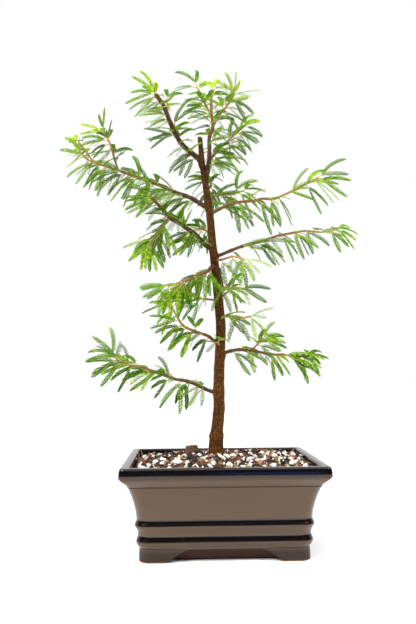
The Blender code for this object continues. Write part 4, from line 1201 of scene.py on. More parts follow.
@functools.cache
def foliage():
    """The leaves of every branch, by the branch's name: the main growth first, then the one that fills it."""
    clearance = Clearance()
    take_wood(clearance)
    placed = {}
    for owner, (name, stems) in enumerate(BRANCHES.items()):
        draw = random.Random(LEAF_SEED + owner)
        placed[name] = []
        for stem in stems:
            placed[name] += grow_stem(stem, owner, clearance, draw)
    for owner, (name, stems) in enumerate(BRANCHES.items()):
        draw = random.Random(FILL_SEED + owner)
        for stem in stems:
            placed[name] += fill_stem(stem, owner, clearance, draw, FILL_PITCH.get(name, OTHER_FILL_PITCH))
    for owner, (name, stems) in enumerate(BRANCHES.items()):
        draw = random.Random(FILL_SEED + 100 + owner)
        tips = [Vector(stem.route[-1]) for stem in stems]
        for leaf in placed[name]:
            # A low youth darkens a leaf with painted shade; a leaf gets more youth near a shoot's tip and
            # higher in the crown.
            near_tip = max(0.0, 1 - min((leaf.root - tip).length for tip in tips) / TIP_REACH)
            high = max(0.0, (leaf.root.z - CROWN_FOOT) / CROWN_HEIGHT)
            leaf.youth = YOUTH + TIP_YOUTH * near_tip ** 2 + CROWN_YELLOWING * high + draw.uniform(*YOUTH_SCATTER)
            leaf.sag = draw.uniform(*ROW_SAG) + UPRIGHT_SAG * max(0.0, leaf.along.z)
            trim(leaf)
    return placed


def trim(leaf):
    """Shortens a leaf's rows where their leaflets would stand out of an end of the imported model's box."""
    low = CAD_BOX[0][0] / MM - ORIGIN_SHIFT + TIP_ROOM
    high = CAD_BOX[1][0] / MM - ORIGIN_SHIFT - TIP_ROOM
    tips = [leaf.rib(side, 1).x for side in (-1, 1)]
    leaf.lengths = tuple(length + min(0.0, tip - low, high - tip) for length, tip in zip(leaf.lengths, tips))


def lines_object(name, lines, attributes):
    """A holder mesh of polylines, each a list of millimetre points, with point attributes given per line."""
    points = [to_metres(p) for line in lines for p in line]
    edges = []
    start = 0
    for line in lines:
        edges += [(start + i, start + i + 1) for i in range(len(line) - 1)]
        start += len(line)
    mesh = bpy.data.meshes.new(name)
    mesh.from_pydata(points, edges, [])
    for label, (kind, values) in attributes.items():
        attribute = mesh.attributes.new(label, kind, "POINT")
        flat = [value for line in values for value in line]
        if kind == "FLOAT_VECTOR":
            attribute.data.foreach_set("vector", np.array(flat, np.float32).ravel())
        else:
            attribute.data.foreach_set("value", np.array(flat, np.float32))
    return link_object(name, mesh)


def stem_tree():
    """Sweeps a round section along each line by its girth, and roughens the bark."""
    tree, given = new_tree("swept_stems", [
        ("Sides", "Int", 10), ("Relief", "Float", 0.0001), ("Grain", "Float", 900.0),
        ("Material", "Material", None),
    ])
    curve = add(tree, "GeometryNodeMeshToCurve", links={"Mesh": (given, "Geometry")})
    girth = add(tree, "GeometryNodeInputNamedAttribute", {"Name": "girth"})
    section = add(tree, "GeometryNodeCurvePrimitiveCircle", {"Radius": 1.0}, {"Resolution": (given, "Sides")})
    swept = add(tree, "GeometryNodeCurveToMesh", {"Fill Caps": True},
                {"Curve": curve, "Profile Curve": (section, "Curve"), "Scale": (girth, "Attribute")})
    place = add(tree, "GeometryNodeInputPosition")
    grain = add(tree, "ShaderNodeTexNoise", {"Detail": 2.0}, {"Vector": place, "Scale": (given, "Grain")})
    swing = add(tree, "ShaderNodeMapRange", {"To Min": -1.0}, {"Value": (grain, "Fac")})
    depth = add(tree, "ShaderNodeMath", {"operation": "MULTIPLY"},
                {"Value": swing, "Value_001": (given, "Relief")})
    normal = add(tree, "GeometryNodeInputNormal")
    push = add(tree, "ShaderNodeVectorMath", {"operation": "SCALE"}, {"Vector": normal, "Scale": depth})
    rough = add(tree, "GeometryNodeSetPosition", links={"Geometry": swept, "Offset": push})
    smooth = add(tree, "GeometryNodeSetShadeSmooth", links={"Geometry": rough})
    finished = add(tree, "GeometryNodeSetMaterial",
                   links={"Geometry": smooth, "Material": (given, "Material")})
    add(tree, "NodeGroupOutput", links={"Geometry": finished})
    return tree


def leaf_tree():
    """Sweeps the stalks and ribs of leaves, and sets a pair of leaflets at each step along the ribs."""
    tree, given = new_tree("feathered_leaves", [
        ("Leaflet", "Object", None), ("Pitch", "Float", 0.0012), ("Leaflet Length", "Float", 0.0027),
        ("Leaflet Width", "Float", 0.0013), ("Leaflet Thickness", "Float", 0.00025), ("Angle", "Float", 1.0),
        ("Lift", "Float", 0.2), ("Seed", "Int", 0),
        ("Leaf Material", "Material", None), ("Stalk Material", "Material", None),
    ])
    curve = add(tree, "GeometryNodeMeshToCurve", links={"Mesh": (given, "Geometry")})
    girth = add(tree, "GeometryNodeInputNamedAttribute", {"Name": "girth"})
    section = add(tree, "GeometryNodeCurvePrimitiveCircle", {"Radius": 1.0, "Resolution": 5})
    ribs = add(tree, "GeometryNodeCurveToMesh", {"Fill Caps": True},
               {"Curve": curve, "Profile Curve": (section, "Curve"), "Scale": (girth, "Attribute")})
    smooth = add(tree, "GeometryNodeSetShadeSmooth", links={"Geometry": ribs})
    stalks = add(tree, "GeometryNodeSetMaterial",
                 links={"Geometry": smooth, "Material": (given, "Stalk Material")})

    feathered = add(tree, "GeometryNodeInputNamedAttribute", {"Name": "feathered"})
    rows = add(tree, "GeometryNodeSeparateGeometry", {"domain": "CURVE"},
               {"Geometry": curve, "Selection": (feathered, "Attribute")})
    stations = add(tree, "GeometryNodeResampleCurve", {"mode": "LENGTH"},
                   {"Curve": (rows, "Selection"), "Length": (given, "Pitch")})
    facing = add(tree, "GeometryNodeInputNamedAttribute", {"data_type": "FLOAT_VECTOR", "Name": "facing"})
    tangent = add(tree, "GeometryNodeInputTangent")
    standing = add(tree, "FunctionNodeAxesToRotation", {"primary_axis": "X", "secondary_axis": "Z"},
                   {"Primary Axis": tangent, "Secondary Axis": (facing, "Attribute")})
    along = add(tree, "GeometryNodeSplineParameter")
    taper = add(tree, "ShaderNodeFloatCurve", {"points": [
        (0.0, 0.62), (0.12, 0.86), (0.35, 1.0), (0.7, 0.98), (0.9, 0.78), (1.0, 0.5)]},
        {"Value": (along, "Factor")})
    closing = add(tree, "ShaderNodeFloatCurve", {"points": [(0.0, 1.0), (0.75, 0.92), (1.0, 0.35)]},
                  {"Value": (along, "Factor")})
    leaflet = add(tree, "GeometryNodeObjectInfo", {"As Instance": True}, {"Object": (given, "Leaflet")})
    sides = []
    for side, extra in ((1.0, 3), (-1.0, 17)):
        seed = add(tree, "ShaderNodeMath", {"Value_001": float(extra)}, {"Value": (given, "Seed")})
        jitter = add(tree, "FunctionNodeRandomValue",
                     {"data_type": "FLOAT", "Min_001": 0.78, "Max_001": 1.16}, {"Seed": seed})
        angle = add(tree, "ShaderNodeMath", {"operation": "MULTIPLY"},
                    {"Value": (given, "Angle"), "Value_001": closing})
        varied = add(tree, "ShaderNodeMath", {"operation": "MULTIPLY"},
                     {"Value": angle, "Value_001": (jitter, "Value_001")})
        signed = add(tree, "ShaderNodeMath", {"operation": "MULTIPLY", "Value_001": side}, {"Value": varied})
        lift = add(tree, "ShaderNodeMath", {"operation": "MULTIPLY", "Value_001": -1.0},
                   {"Value": (given, "Lift")})
        roll = add(tree, "ShaderNodeMath", {"operation": "MULTIPLY", "Value_001": -0.28 * side},
                   {"Value": (jitter, "Value_001")})
        euler = add(tree, "ShaderNodeCombineXYZ", links={"X": roll, "Y": lift, "Z": signed})
        turn = add(tree, "FunctionNodeEulerToRotation", links={"Euler": euler})
        turned = add(tree, "FunctionNodeRotateRotation", {"rotation_space": "LOCAL"},
                     {"Rotation": standing, "Rotate By": turn})
        length = add(tree, "ShaderNodeMath", {"operation": "MULTIPLY"},
                     {"Value": (given, "Leaflet Length"), "Value_001": taper})
        varied_length = add(tree, "ShaderNodeMath", {"operation": "MULTIPLY"},
                            {"Value": length, "Value_001": (jitter, "Value_001")})
        size = add(tree, "ShaderNodeCombineXYZ", links={
            "X": varied_length, "Y": (given, "Leaflet Width"), "Z": (given, "Leaflet Thickness")})
        placed = add(tree, "GeometryNodeInstanceOnPoints", links={
            "Points": stations, "Instance": (leaflet, "Geometry"), "Rotation": turned, "Scale": size})
        tone = add(tree, "FunctionNodeRandomValue", {"data_type": "FLOAT"}, {"Seed": seed})
        sides.append(add(tree, "GeometryNodeStoreNamedAttribute", {"domain": "INSTANCE", "Name": "tone"},
                         {"Geometry": placed, "Value": (tone, "Value_001")}))
    pairs = add(tree, "GeometryNodeJoinGeometry", links={"Geometry": sides[0]})
    link(tree, sides[1], pairs, "Geometry")
    real = add(tree, "GeometryNodeRealizeInstances", links={"Geometry": pairs})
    green = add(tree, "GeometryNodeSetMaterial",
                links={"Geometry": real, "Material": (given, "Leaf Material")})
    whole = add(tree, "GeometryNodeJoinGeometry", links={"Geometry": green})
    link(tree, stalks, whole, "Geometry")
    add(tree, "NodeGroupOutput", links={"Geometry": whole})
    return tree


def leaflet_shape():
    """One leaflet, one unit long and wide, pointing along +X: a thin lens with its root at the origin."""
    outline = [(0.0, 0.0), (0.22, -0.42), (0.72, -0.5), (1.0, -0.05), (0.8, 0.42), (0.25, 0.42)]
    points = [(x, y, 0.0) for x, y in outline] + [(0.5, 0.0, 0.5), (0.5, 0.0, -0.5)]
    faces = []
    for i in range(6):
        faces.append((i, (i + 1) % 6, 6))
        faces.append(((i + 1) % 6, i, 7))
    mesh = bpy.data.meshes.new("leaflet")
    mesh.from_pydata(points, [], faces)
    turn_outwards(mesh)
    mesh.shade_smooth()
    return bpy.data.objects.new("leaflet", mesh)


def leaflet_material(settings):
    """Living leaflets: a waxy skin over green flesh, yellow-green on young ones; the darkest greens are
    painted shade for leaves deep inside the crown.
    """
    material, tree, shader = new_material("living_leaflets", Roughness=0.55, Specular_IOR_Level=0.06,
                                          Subsurface_Weight=0.2, Subsurface_Radius=(0.6, 1.0, 0.15),
                                          Subsurface_Scale=0.0006)
    youth = add(tree, "ShaderNodeAttribute", {"attribute_name": "youth"})
    tone = add(tree, "ShaderNodeAttribute", {"attribute_name": "tone"})
    sway = add(tree, "ShaderNodeMapRange", {"To Min": -0.22, "To Max": 0.22}, {"Value": (tone, "Fac")})
    mixed = add(tree, "ShaderNodeMath", {"operation": "ADD"}, {"Value": (youth, "Fac"), "Value_001": sway})
    # Below the grown colour the ramp darkens into painted shade; above it young leaflets turn yellow-green.
    ramp = add(tree, "ShaderNodeValToRGB", {"stops": [
        (0.0, "1C4004"), (0.22, "326204"), (0.42, settings.grown_colour), (0.62, "82B012"), (0.80, "B4D022"),
        (1.0, settings.young_colour)]},
        {"Fac": mixed})
    link(tree, ramp, shader, "Base Color")
    return material


def stalk_material():
    """Leaf stalks and ribs: smooth living tissue, yellow-green with a blush of red near the fork."""
    material, tree, shader = new_material("leaf_stalks", Roughness=0.45)
    spot = (add(tree, "ShaderNodeTexCoord"), "Object")
    blush = add(tree, "ShaderNodeTexNoise", {"Scale": 110.0, "Detail": 2.0}, {"Vector": spot})
    ramp = add(tree, "ShaderNodeValToRGB", {"stops": [(0.3, "7FA43A"), (0.55, "B5B45A"), (0.72, "C98E62")]},
               {"Fac": (blush, "Fac")})
    link(tree, ramp, shader, "Base Color")
    return material


def young_bark(settings):
    """Bark of shoots: smooth grey-brown on old wood with pale pores, orange-tan towards the growing tips."""
    material, tree, shader = new_material("young_bark", Roughness=0.7, Specular_IOR_Level=0.25)
    spot = (add(tree, "ShaderNodeTexCoord"), "Object")
    age = add(tree, "ShaderNodeAttribute", {"attribute_name": "youth"})
    drift = add(tree, "ShaderNodeTexNoise", {"Scale": 220.0, "Detail": 4.0, "Roughness": 0.6},
                {"Vector": spot})
    sway = add(tree, "ShaderNodeMapRange", {"To Min": -0.3, "To Max": 0.3}, {"Value": (drift, "Fac")})
    mixed = add(tree, "ShaderNodeMath", {"operation": "ADD"}, {"Value": (age, "Fac"), "Value_001": sway})
    ramp = add(tree, "ShaderNodeValToRGB", {"stops": [
        (0.0, "35230F"), (0.3, "503618"), (0.55, "6A4A22"), (0.8, "82602E"), (1.0, settings.tip_bark)]},
        {"Fac": mixed})
    pores = add(tree, "ShaderNodeTexVoronoi", {"Scale": 700.0}, {"Vector": spot})
    pore = add(tree, "ShaderNodeMapRange", {"From Min": 0.22, "From Max": 0.10, "To Max": 0.6},
               {"Value": (pores, "Distance")})
    dotted = add(tree, "ShaderNodeMix", {"data_type": "RGBA", "B_Color": srgb("C7B08E")},
                 {"Factor_Float": pore, "A_Color": ramp})
    link(tree, (dotted, "Result_Color"), shader, "Base Color")
    bump = add(tree, "ShaderNodeBump", {"Strength": 0.6, "Distance": 0.0002}, {"Height": (drift, "Fac")})
    link(tree, bump, shader, "Normal")
    return material


def trunk_material(settings):
    """Bark of a young trunk, grown and dry: olive-brown, finely cracked, with dark scales and pale pores."""
    material, tree, shader = new_material("trunk_bark", Roughness=0.85, Specular_IOR_Level=0.12)
    spot = (add(tree, "ShaderNodeTexCoord"), "Object")
    place = add(tree, "ShaderNodeSeparateXYZ", links={"Vector": spot})
    upright = add(tree, "ShaderNodeMapping", {"Scale": (1.0, 1.0, 0.4)}, {"Vector": spot})
    # Cracks are drawn about 1.5 mm apart, twice as coarse as the real ones, so that they show.
    fibre = add(tree, "ShaderNodeTexNoise", {"Scale": 900.0, "Detail": 4.0, "Roughness": 0.6},
                {"Vector": upright})
    patch = add(tree, "ShaderNodeTexNoise", {"Scale": 150.0, "Detail": 3.0}, {"Vector": spot})
    height = add(tree, "ShaderNodeMapRange", {"From Min": 0.065, "From Max": 0.335}, {"Value": (place, "Z")})
    high = add(tree, "ShaderNodeValToRGB", {"stops": [
        (0.0, "74522C"), (0.10, settings.low_bark), (0.25, "6E4E25"), (0.45, "62421D"),
        (0.8, settings.high_bark), (1.0, "664824")]},
        {"Fac": height})
    dark = add(tree, "ShaderNodeValToRGB", {"stops": [
        (0.34, "2A1D12"), (0.50, "7C6850"), (0.66, "C4AE8C")]}, {"Fac": (fibre, "Fac")})
    barked = add(tree, "ShaderNodeMix", {"data_type": "RGBA", "blend_type": "OVERLAY", "Factor_Float": 0.85},
                 {"A_Color": high, "B_Color": dark})
    low = add(tree, "ShaderNodeMapRange", {"From Min": 0.1, "From Max": 0.0, "To Min": 0.25, "To Max": 0.6},
              {"Value": height})
    scale = add(tree, "ShaderNodeMapRange", {"From Min": 0.53, "From Max": 0.6},
                {"Value": (patch, "Fac"), "To Max": low})
    scaly = add(tree, "ShaderNodeMix", {"data_type": "RGBA", "B_Color": srgb("33220F")},
                {"Factor_Float": scale, "A_Color": (barked, "Result_Color")})
    specks = add(tree, "ShaderNodeTexVoronoi", {"Scale": 480.0}, {"Vector": spot})
    speck = add(tree, "ShaderNodeMapRange", {"From Min": 0.2, "From Max": 0.08, "To Max": 0.4},
                {"Value": (specks, "Distance")})
    flecked = add(tree, "ShaderNodeMix", {"data_type": "RGBA", "B_Color": srgb("B8A264")},
                  {"Factor_Float": speck, "A_Color": (scaly, "Result_Color")})
    link(tree, (flecked, "Result_Color"), shader, "Base Color")
    bump = add(tree, "ShaderNodeBump", {"Strength": 0.9, "Distance": 0.0006}, {"Height": (fibre, "Fac")})
    link(tree, bump, shader, "Normal")
    return material


def bark_push(angle, z, radius, collars):
    """How far the trunk's bark stands out of its plain tube, in millimetres."""
    side = Vector((radius * math.cos(angle), radius * math.sin(angle), 0))
    fibre, width, length = FIBRES
    push = fibre * noise.noise(Vector((side.x / width, side.y / width, z / length)))
    plate, width, length = PLATES
    plates = noise.noise(Vector((side.x / width, side.y / width, z / length + 40)))
    low = max(0.0, min(1.0, 1 - (z - ROUGH_HEIGHT) / ROUGH_FADE))
    push += plate * plates * (0.4 + 0.6 * low)
    if low and plates > PLATE_EDGE:
        push += PLATE_STEP * low
    flare = math.exp(-max(0.0, z - SOIL_LINE) / ROOT_FLARE_HEIGHT)
    push += flare * ROOT_FLARE * (1 + math.cos(3 * angle + 0.8))
    height, heading, reach = STUB
    facing = max(0.0, math.cos(angle - math.radians(heading)))
    ledge = 1 / (1 + math.exp(min(40.0, (z - height) / STUB_EDGE)))
    drop, spread, swell = STUB_LIP
    lip = math.exp(-((z - height + drop) / spread) ** 2)
    push += facing ** 2 * (reach * ledge + swell * lip)
    for height, heading, size in collars:
        round_it = radius * abs(wrapped(angle - heading))
        apart = math.hypot((z - height) / (1.5 * size), round_it / (1.2 * size))
        push += COLLAR_SWELL * size * math.exp(-apart * apart)
    return push


def wrapped(angle):
    return (angle + math.pi) % math.tau - math.pi


def make_trunk():
    """The trunk: a swept tube with bark plates, a flared foot, branch collars, a stub and a sawn top."""
    route = [p for p in smooth_route(TRUNK_ROUTE, TRUNK_STEP) if p.z > TRUNK_FOOT]
    collars = []
    for stems in BRANCHES.values():
        stem = stems[0]
        start, after = Vector(stem.route[0]), Vector(stem.route[2])
        collars.append((start.z + 0.4 * (after.z - start.z) * between(TRUNK_RADIUS, start.z) / 10,
                        math.atan2(after.y - start.y, after.x - start.x), stem.root_radius))
    points = []
    for p in route:
        radius = between(TRUNK_RADIUS, p.z)
        near = [collar for collar in collars if abs(collar[0] - p.z) < COLLAR_REACH]
        for k in range(TRUNK_SIDES):
            angle = math.tau * k / TRUNK_SIDES
            out = radius + bark_push(angle, p.z, radius, near)
            if p.z > CUT_HEIGHT:
                out *= CUT_WEAR
            points.append((p.x + out * math.cos(angle), p.y + out * math.sin(angle), p.z))
    faces = ring_faces(len(route), TRUNK_SIDES)
    for row, end in ((0, route[0]), (len(route) - 1, route[-1])):
        points.append((end.x, end.y, end.z))
        for k in range(TRUNK_SIDES):
            faces.append((row * TRUNK_SIDES + k, row * TRUNK_SIDES + (k + 1) % TRUNK_SIDES, len(points) - 1))
    return mesh_object("trunk_bark", points, faces)


class BONSAI_OT_trunk(bpy.types.Operator):
    """Builds the trunk with its bark"""
    bl_idname = "bonsai.trunk"
    bl_label = "Trunk"

    def execute(self, context):
        trunk = make_trunk()
        trunk.data.materials.append(trunk_material(context.scene.bonsai_tree))
        shade(trunk, 70.0)
        finish_piece(trunk, "trunk")
        return {"FINISHED"}


def stem_lines(stems, leaves):
    """The lines that a branch's stems are swept along, with their girth and youth at each point."""
    lines, girths, youths = [], [], []
    for i, stem in enumerate(stems):
        route = smooth_route(stem.route, 1.0)
        radii = stem_radii(stem, len(route))
        line, girth, youth = [], [], []
        for k, (p, radius) in enumerate(zip(route, radii)):
            swell = 0.0
            for leaf in leaves:
                apart = (leaf.root - p).length
                if apart < NODE_REACH:
                    swell = max(swell, NODE_SWELL * math.exp(-apart * apart / 1.6))
            collar, fade = FORK_GIRTH if i else COLLAR_GIRTH
            line.append(p)
            girth.append(radius * (STEM_GIRTH + swell + collar * math.exp(-k / fade)) * MM)
            share = k / (len(route) - 1)
            old = stem.root_radius + (stem.tip_radius - stem.root_radius) * share
            youth.append(max(0.0, min(1.0, 1.45 - old * 0.72 + 0.2 * share)))
        girth[-1] *= 0.55
        lines.append(line)
        girths.append(girth)
        youths.append(youth)
    return lines, girths, youths


def leaf_lines(leaves):
    """The lines that leaves are swept along: a stalk and two ribs each."""
    lines, girths, facings, feathered, youths = [], [], [], [], []
    for leaf in leaves:
        stalk = [leaf.root.lerp(leaf.fork(), t) + leaf.up * (STALK_BOW * math.sin(math.pi * t))
                 for t in (0, 0.33, 0.67, 1)]
        rows = []
        for side in (-1, 1):
            length = leaf.lengths[side > 0]
            row = [leaf.fork(), leaf.rib(side, 0)]
            ahead = (leaf.rib(side, 1) - leaf.rib(side, 0)).normalized() + leaf.aside(side) * (side * ROW_BOW)
            for k in range(RIB_STEPS):
                t = (k + 0.5) / RIB_STEPS
                heading = ahead - leaf.aside(side) * (2 * side * ROW_BOW * t) - Vector((0, 0, leaf.sag * t))
                row.append(row[-1] + heading.normalized() * (length / RIB_STEPS))
            rows.append(row)
        for line, is_row in [(stalk, 0.0)] + [(row, 1.0) for row in rows]:
            count = len(line)
            lines.append(line)
            if is_row:
                thick, thin = RIB_GIRTHS
                girths.append([(thick + (thin - thick) * k / (count - 1)) * MM for k in range(count)])
            else:
                girths.append([girth * MM for girth in STALK_GIRTHS])
            facings.append([tuple(leaf.up)] * count)
            feathered.append([is_row] * count)
            youths.append([leaf.youth] * count)
    return lines, girths, facings, feathered, youths


class BONSAI_OT_stems(bpy.types.Operator):
    """Grows the wood of every branch"""
    bl_idname = "bonsai.stems"
    bl_label = "Branches"

    def execute(self, context):
        settings = context.scene.bonsai_tree
        tree = stem_tree()
        bark = young_bark(settings)
        for name, leaves in foliage().items():
            lines, girths, youths = stem_lines(BRANCHES[name], leaves)
            holder = lines_object(name + "_lines", lines, {
                "girth": ("FLOAT", girths), "youth": ("FLOAT", youths)})
            wood = grown(holder, tree, name + "_wood", {
                "Sides": settings.stem_sides, "Relief": settings.stem_relief, "Material": bark})
            finish_piece(wood, name)
        return {"FINISHED"}


class BONSAI_OT_leaves(bpy.types.Operator):
    """Grows the feathered leaves of every branch"""
    bl_idname = "bonsai.leaves"
    bl_label = "Feathered Leaves"

    def execute(self, context):
        settings = context.scene.bonsai_leaves
        tree = leaf_tree()
        green = leaflet_material(settings)
        stalk = stalk_material()
        leaflet = leaflet_shape()
        for seed, (name, leaves) in enumerate(foliage().items()):
            lines, girths, facings, feathered, youths = leaf_lines(leaves)
            holder = lines_object(name + "_ribs", lines, {
                "girth": ("FLOAT", girths), "facing": ("FLOAT_VECTOR", facings),
                "feathered": ("FLOAT", feathered), "youth": ("FLOAT", youths)})
            crown = grown(holder, tree, name + "_leaves", {
                "Leaflet": leaflet, "Pitch": settings.pitch, "Leaflet Length": settings.length,
                "Leaflet Width": settings.width, "Leaflet Thickness": settings.thickness,
                "Angle": settings.angle, "Lift": settings.lift, "Seed": seed,
                "Leaf Material": green, "Stalk Material": stalk})
            finish_piece(crown, name)
        bpy.data.objects.remove(leaflet, do_unlink=True)
        return {"FINISHED"}


# Stage

def make_light(name, place, aim, size, power, colour):
    """A soft rectangular light that the camera doesn't see."""
    light = bpy.data.lights.new(name, "AREA")
    light.shape = "RECTANGLE"
    light.size = size[0]
    light.size_y = size[1]
    light.energy = power
    light.color = colour[:3]
    obj = link_object(name, light)
    obj.location = place
    obj.rotation_euler = (Vector(aim) - Vector(place)).to_track_quat("-Z", "Y").to_euler()
    obj.visible_camera = False


def make_table():
    """A round sheet of white paper that the pot stands on."""
    points = [(0.0, 0.0, 0.0)]
    for radius in TABLE_RINGS:
        angles = [math.tau * k / TABLE_SIDES for k in range(TABLE_SIDES)]
        points += [(radius * math.cos(angle), radius * math.sin(angle), 0.0) for angle in angles]
    faces = [(0, 1 + k, 1 + (k + 1) % TABLE_SIDES) for k in range(TABLE_SIDES)]
    for a, b, c, d in ring_faces(len(TABLE_RINGS), TABLE_SIDES):
        faces.append((1 + a, 1 + d, 1 + c, 1 + b))
    mesh = bpy.data.meshes.new("table")
    mesh.from_pydata(points, [], faces)
    table = link_object("table", mesh)
    material, tree, shader = new_material("white_paper", Roughness=0.95)
    shader.inputs["Specular IOR Level"].default_value = 0.1
    spot = (add(tree, "ShaderNodeTexCoord"), "Object")
    fibre = add(tree, "ShaderNodeTexNoise", {"Scale": 60.0, "Detail": 2.0}, {"Vector": spot})
    tone = add(tree, "ShaderNodeValToRGB", {"stops": [(0.3, "FAFAF9"), (0.7, "FDFDFD")]},
               {"Fac": (fibre, "Fac")})
    link(tree, tone, shader, "Base Color")
    mesh.materials.append(material)


def make_room(brightness):
    """White all round where the camera looks; for the light itself, a bright ceiling over darker walls."""
    world = bpy.data.worlds.new("light_tent")
    world.use_nodes = True
    tree = world.node_tree
    tree.nodes.clear()
    coords = add(tree, "ShaderNodeTexCoord")
    place = add(tree, "ShaderNodeSeparateXYZ", links={"Vector": (coords, "Generated")})
    height = add(tree, "ShaderNodeMapRange", {"From Min": -1.0}, {"Value": (place, "Z")})
    walls = add(tree, "ShaderNodeValToRGB", {"stops": [
        (0.0, "AAAAAA"), (0.49, "AAAAAA"), (0.505, "1A1D2A"), (0.72, "20222C"), (0.86, "E7E7E7"),
        (1.0, "FFFFFF")]}, {"Fac": height})
    behind = add(tree, "ShaderNodeMapRange", {"From Min": 0.05, "From Max": 0.45}, {"Value": (place, "Y")})
    lit = add(tree, "ShaderNodeMix",
              {"data_type": "RGBA", "blend_type": "LIGHTEN", "B_Color": srgb("C4C4C4")},
              {"Factor_Float": behind, "A_Color": walls})
    lighting = add(tree, "ShaderNodeBackground", {"Strength": brightness}, {"Color": (lit, "Result_Color")})
    backdrop = add(tree, "ShaderNodeBackground", {"Color": (1.0, 1.0, 1.0, 1.0), "Strength": 1.0})
    ray = add(tree, "ShaderNodeLightPath")
    both = add(tree, "ShaderNodeMixShader", links={"Fac": (ray, "Is Camera Ray"), "Shader": lighting,
                                                   "Shader_001": backdrop})
    add(tree, "ShaderNodeOutputWorld", links={"Surface": both})
    bpy.context.scene.world = world


def make_camera():
    """The photograph's camera: its place, turns and lens."""
    pitch, yaw, roll = (math.radians(a) for a in (CAMERA_PITCH, CAMERA_YAW, CAMERA_ROLL))
    forward = Vector((math.sin(yaw) * math.cos(pitch), math.cos(yaw) * math.cos(pitch), math.sin(pitch)))
    level = Vector((math.cos(yaw), -math.sin(yaw), 0))
    upright = level.cross(forward)
    right = level * math.cos(roll) + upright * math.sin(roll)
    up = upright * math.cos(roll) - level * math.sin(roll)
    camera = bpy.data.cameras.new("camera")
    camera.lens = LENS
    camera.sensor_width = SENSOR
    camera.clip_start = 0.01
    obj = link_object("camera", camera)
    obj.matrix_world = Matrix.Translation(to_metres(CAMERA_PLACE)) @ Matrix(
        (right, up, -forward)).transposed().to_4x4()
    bpy.context.scene.camera = obj


class BONSAI_OT_stage(bpy.types.Operator):
    """Sets the pale table, the soft lights and the photograph's camera"""
    bl_idname = "bonsai.stage"
    bl_label = "Stage"

    def execute(self, context):
        settings = context.scene.bonsai_stage
        make_table()
        make_camera()
        make_room(settings.room_light)
        # Name, place, aim, size, power, colour.
        lights = [
            ("left_softbox", (-0.8, -0.7, 1.1), (0.0, 0.0, 0.2), (0.6, 0.6), settings.left_power,
             srgb("FFF8EE")),
            ("right_softbox", (0.9, -0.5, 0.9), (0.0, 0.0, 0.2), (0.5, 0.5), settings.right_power,
             srgb("F2F6FF")),
            ("window", (0.36, -2.0, 0.2), (0.0, 0.0, 0.1), (0.5, 0.12), settings.window_power,
             settings.window_colour),
        ]
        for light in lights:
            make_light(*light)
        context.scene.view_settings.view_transform = "Standard"
        return {"FINISHED"}


# Settings, panel and registration

class BonsaiPot(bpy.types.PropertyGroup):
    """Sizes and finish of the pot"""
    scored_depth: FloatProperty(name="Scored Depth", description="Depth of the line scored round the neck",
                                default=0.0004, min=0.0, max=0.002, unit="LENGTH")
    scored_width: FloatProperty(name="Scored Width", description="Width of the line scored round the neck",
                                default=0.0012, min=0.0004, max=0.004, unit="LENGTH")
    gloss_roughness: FloatProperty(name="Gloss Roughness", description="Roughness of the fired glaze",
                                   default=0.1, min=0.0, max=1.0, subtype="FACTOR")
    # The body's colour is partly the glaze's own brown and partly painted sheen; the bands' colour is a
    # painted dark reflection.
    body_glaze_and_sheen_colour: FloatVectorProperty(name="Glaze And Sheen", description="Colour of the glaze on the pot's faces",
                                     default=srgb("403226"), size=4, min=0.0, max=1.0, subtype="COLOR")
    band_reflection_colour: FloatVectorProperty(name="Painted Band Reflection", description="Painted dark reflection on the bands",
                                       default=srgb("0A090B"), size=4, min=0.0, max=1.0, subtype="COLOR")


class BonsaiSoil(bpy.types.PropertyGroup):
    """Sizes of the potting mix"""
    relief: FloatProperty(name="Crumb Relief", description="Height of the crumbs of the bed",
                          default=0.0012, min=0.0, max=0.004, unit="LENGTH")
    perlite_share: FloatProperty(name="Perlite", description="How much of the surface carries white perlite",
                                 default=1.0, min=0.0, max=2.0, subtype="FACTOR")
    perlite_colour: FloatVectorProperty(name="Perlite Colour", description="Colour of most grains of perlite",
                                        default=srgb("EAE7E0"), size=4, min=0.0, max=1.0, subtype="COLOR")
    chip_colour: FloatVectorProperty(name="Bark Colour", description="Colour of the lighter chips of bark",
                                     default=srgb("6E452C"), size=4, min=0.0, max=1.0, subtype="COLOR")
    seed: IntProperty(name="Seed", description="Seed of the scattered grains", default=7, min=0)


class BonsaiTree(bpy.types.PropertyGroup):
    """Sizes of the wood"""
    stem_sides: IntProperty(name="Stem Sides", description="Faces round a stem", default=10, min=5, max=24)
    stem_relief: FloatProperty(name="Stem Relief", description="How far the young bark stands in and out",
                               default=0.00012, min=0.0, max=0.001, unit="LENGTH")
    low_bark: FloatVectorProperty(name="Low Bark", description="Colour of the trunk's bark near the soil",
                                  default=srgb("7E5A30"), size=4, min=0.0, max=1.0, subtype="COLOR")
    high_bark: FloatVectorProperty(name="High Bark", description="Colour of the trunk's bark near its top",
                                   default=srgb("583A18"), size=4, min=0.0, max=1.0, subtype="COLOR")
    tip_bark: FloatVectorProperty(name="Tip Bark", description="Colour of the youngest shoots",
                                  default=srgb("A08446"), size=4, min=0.0, max=1.0, subtype="COLOR")


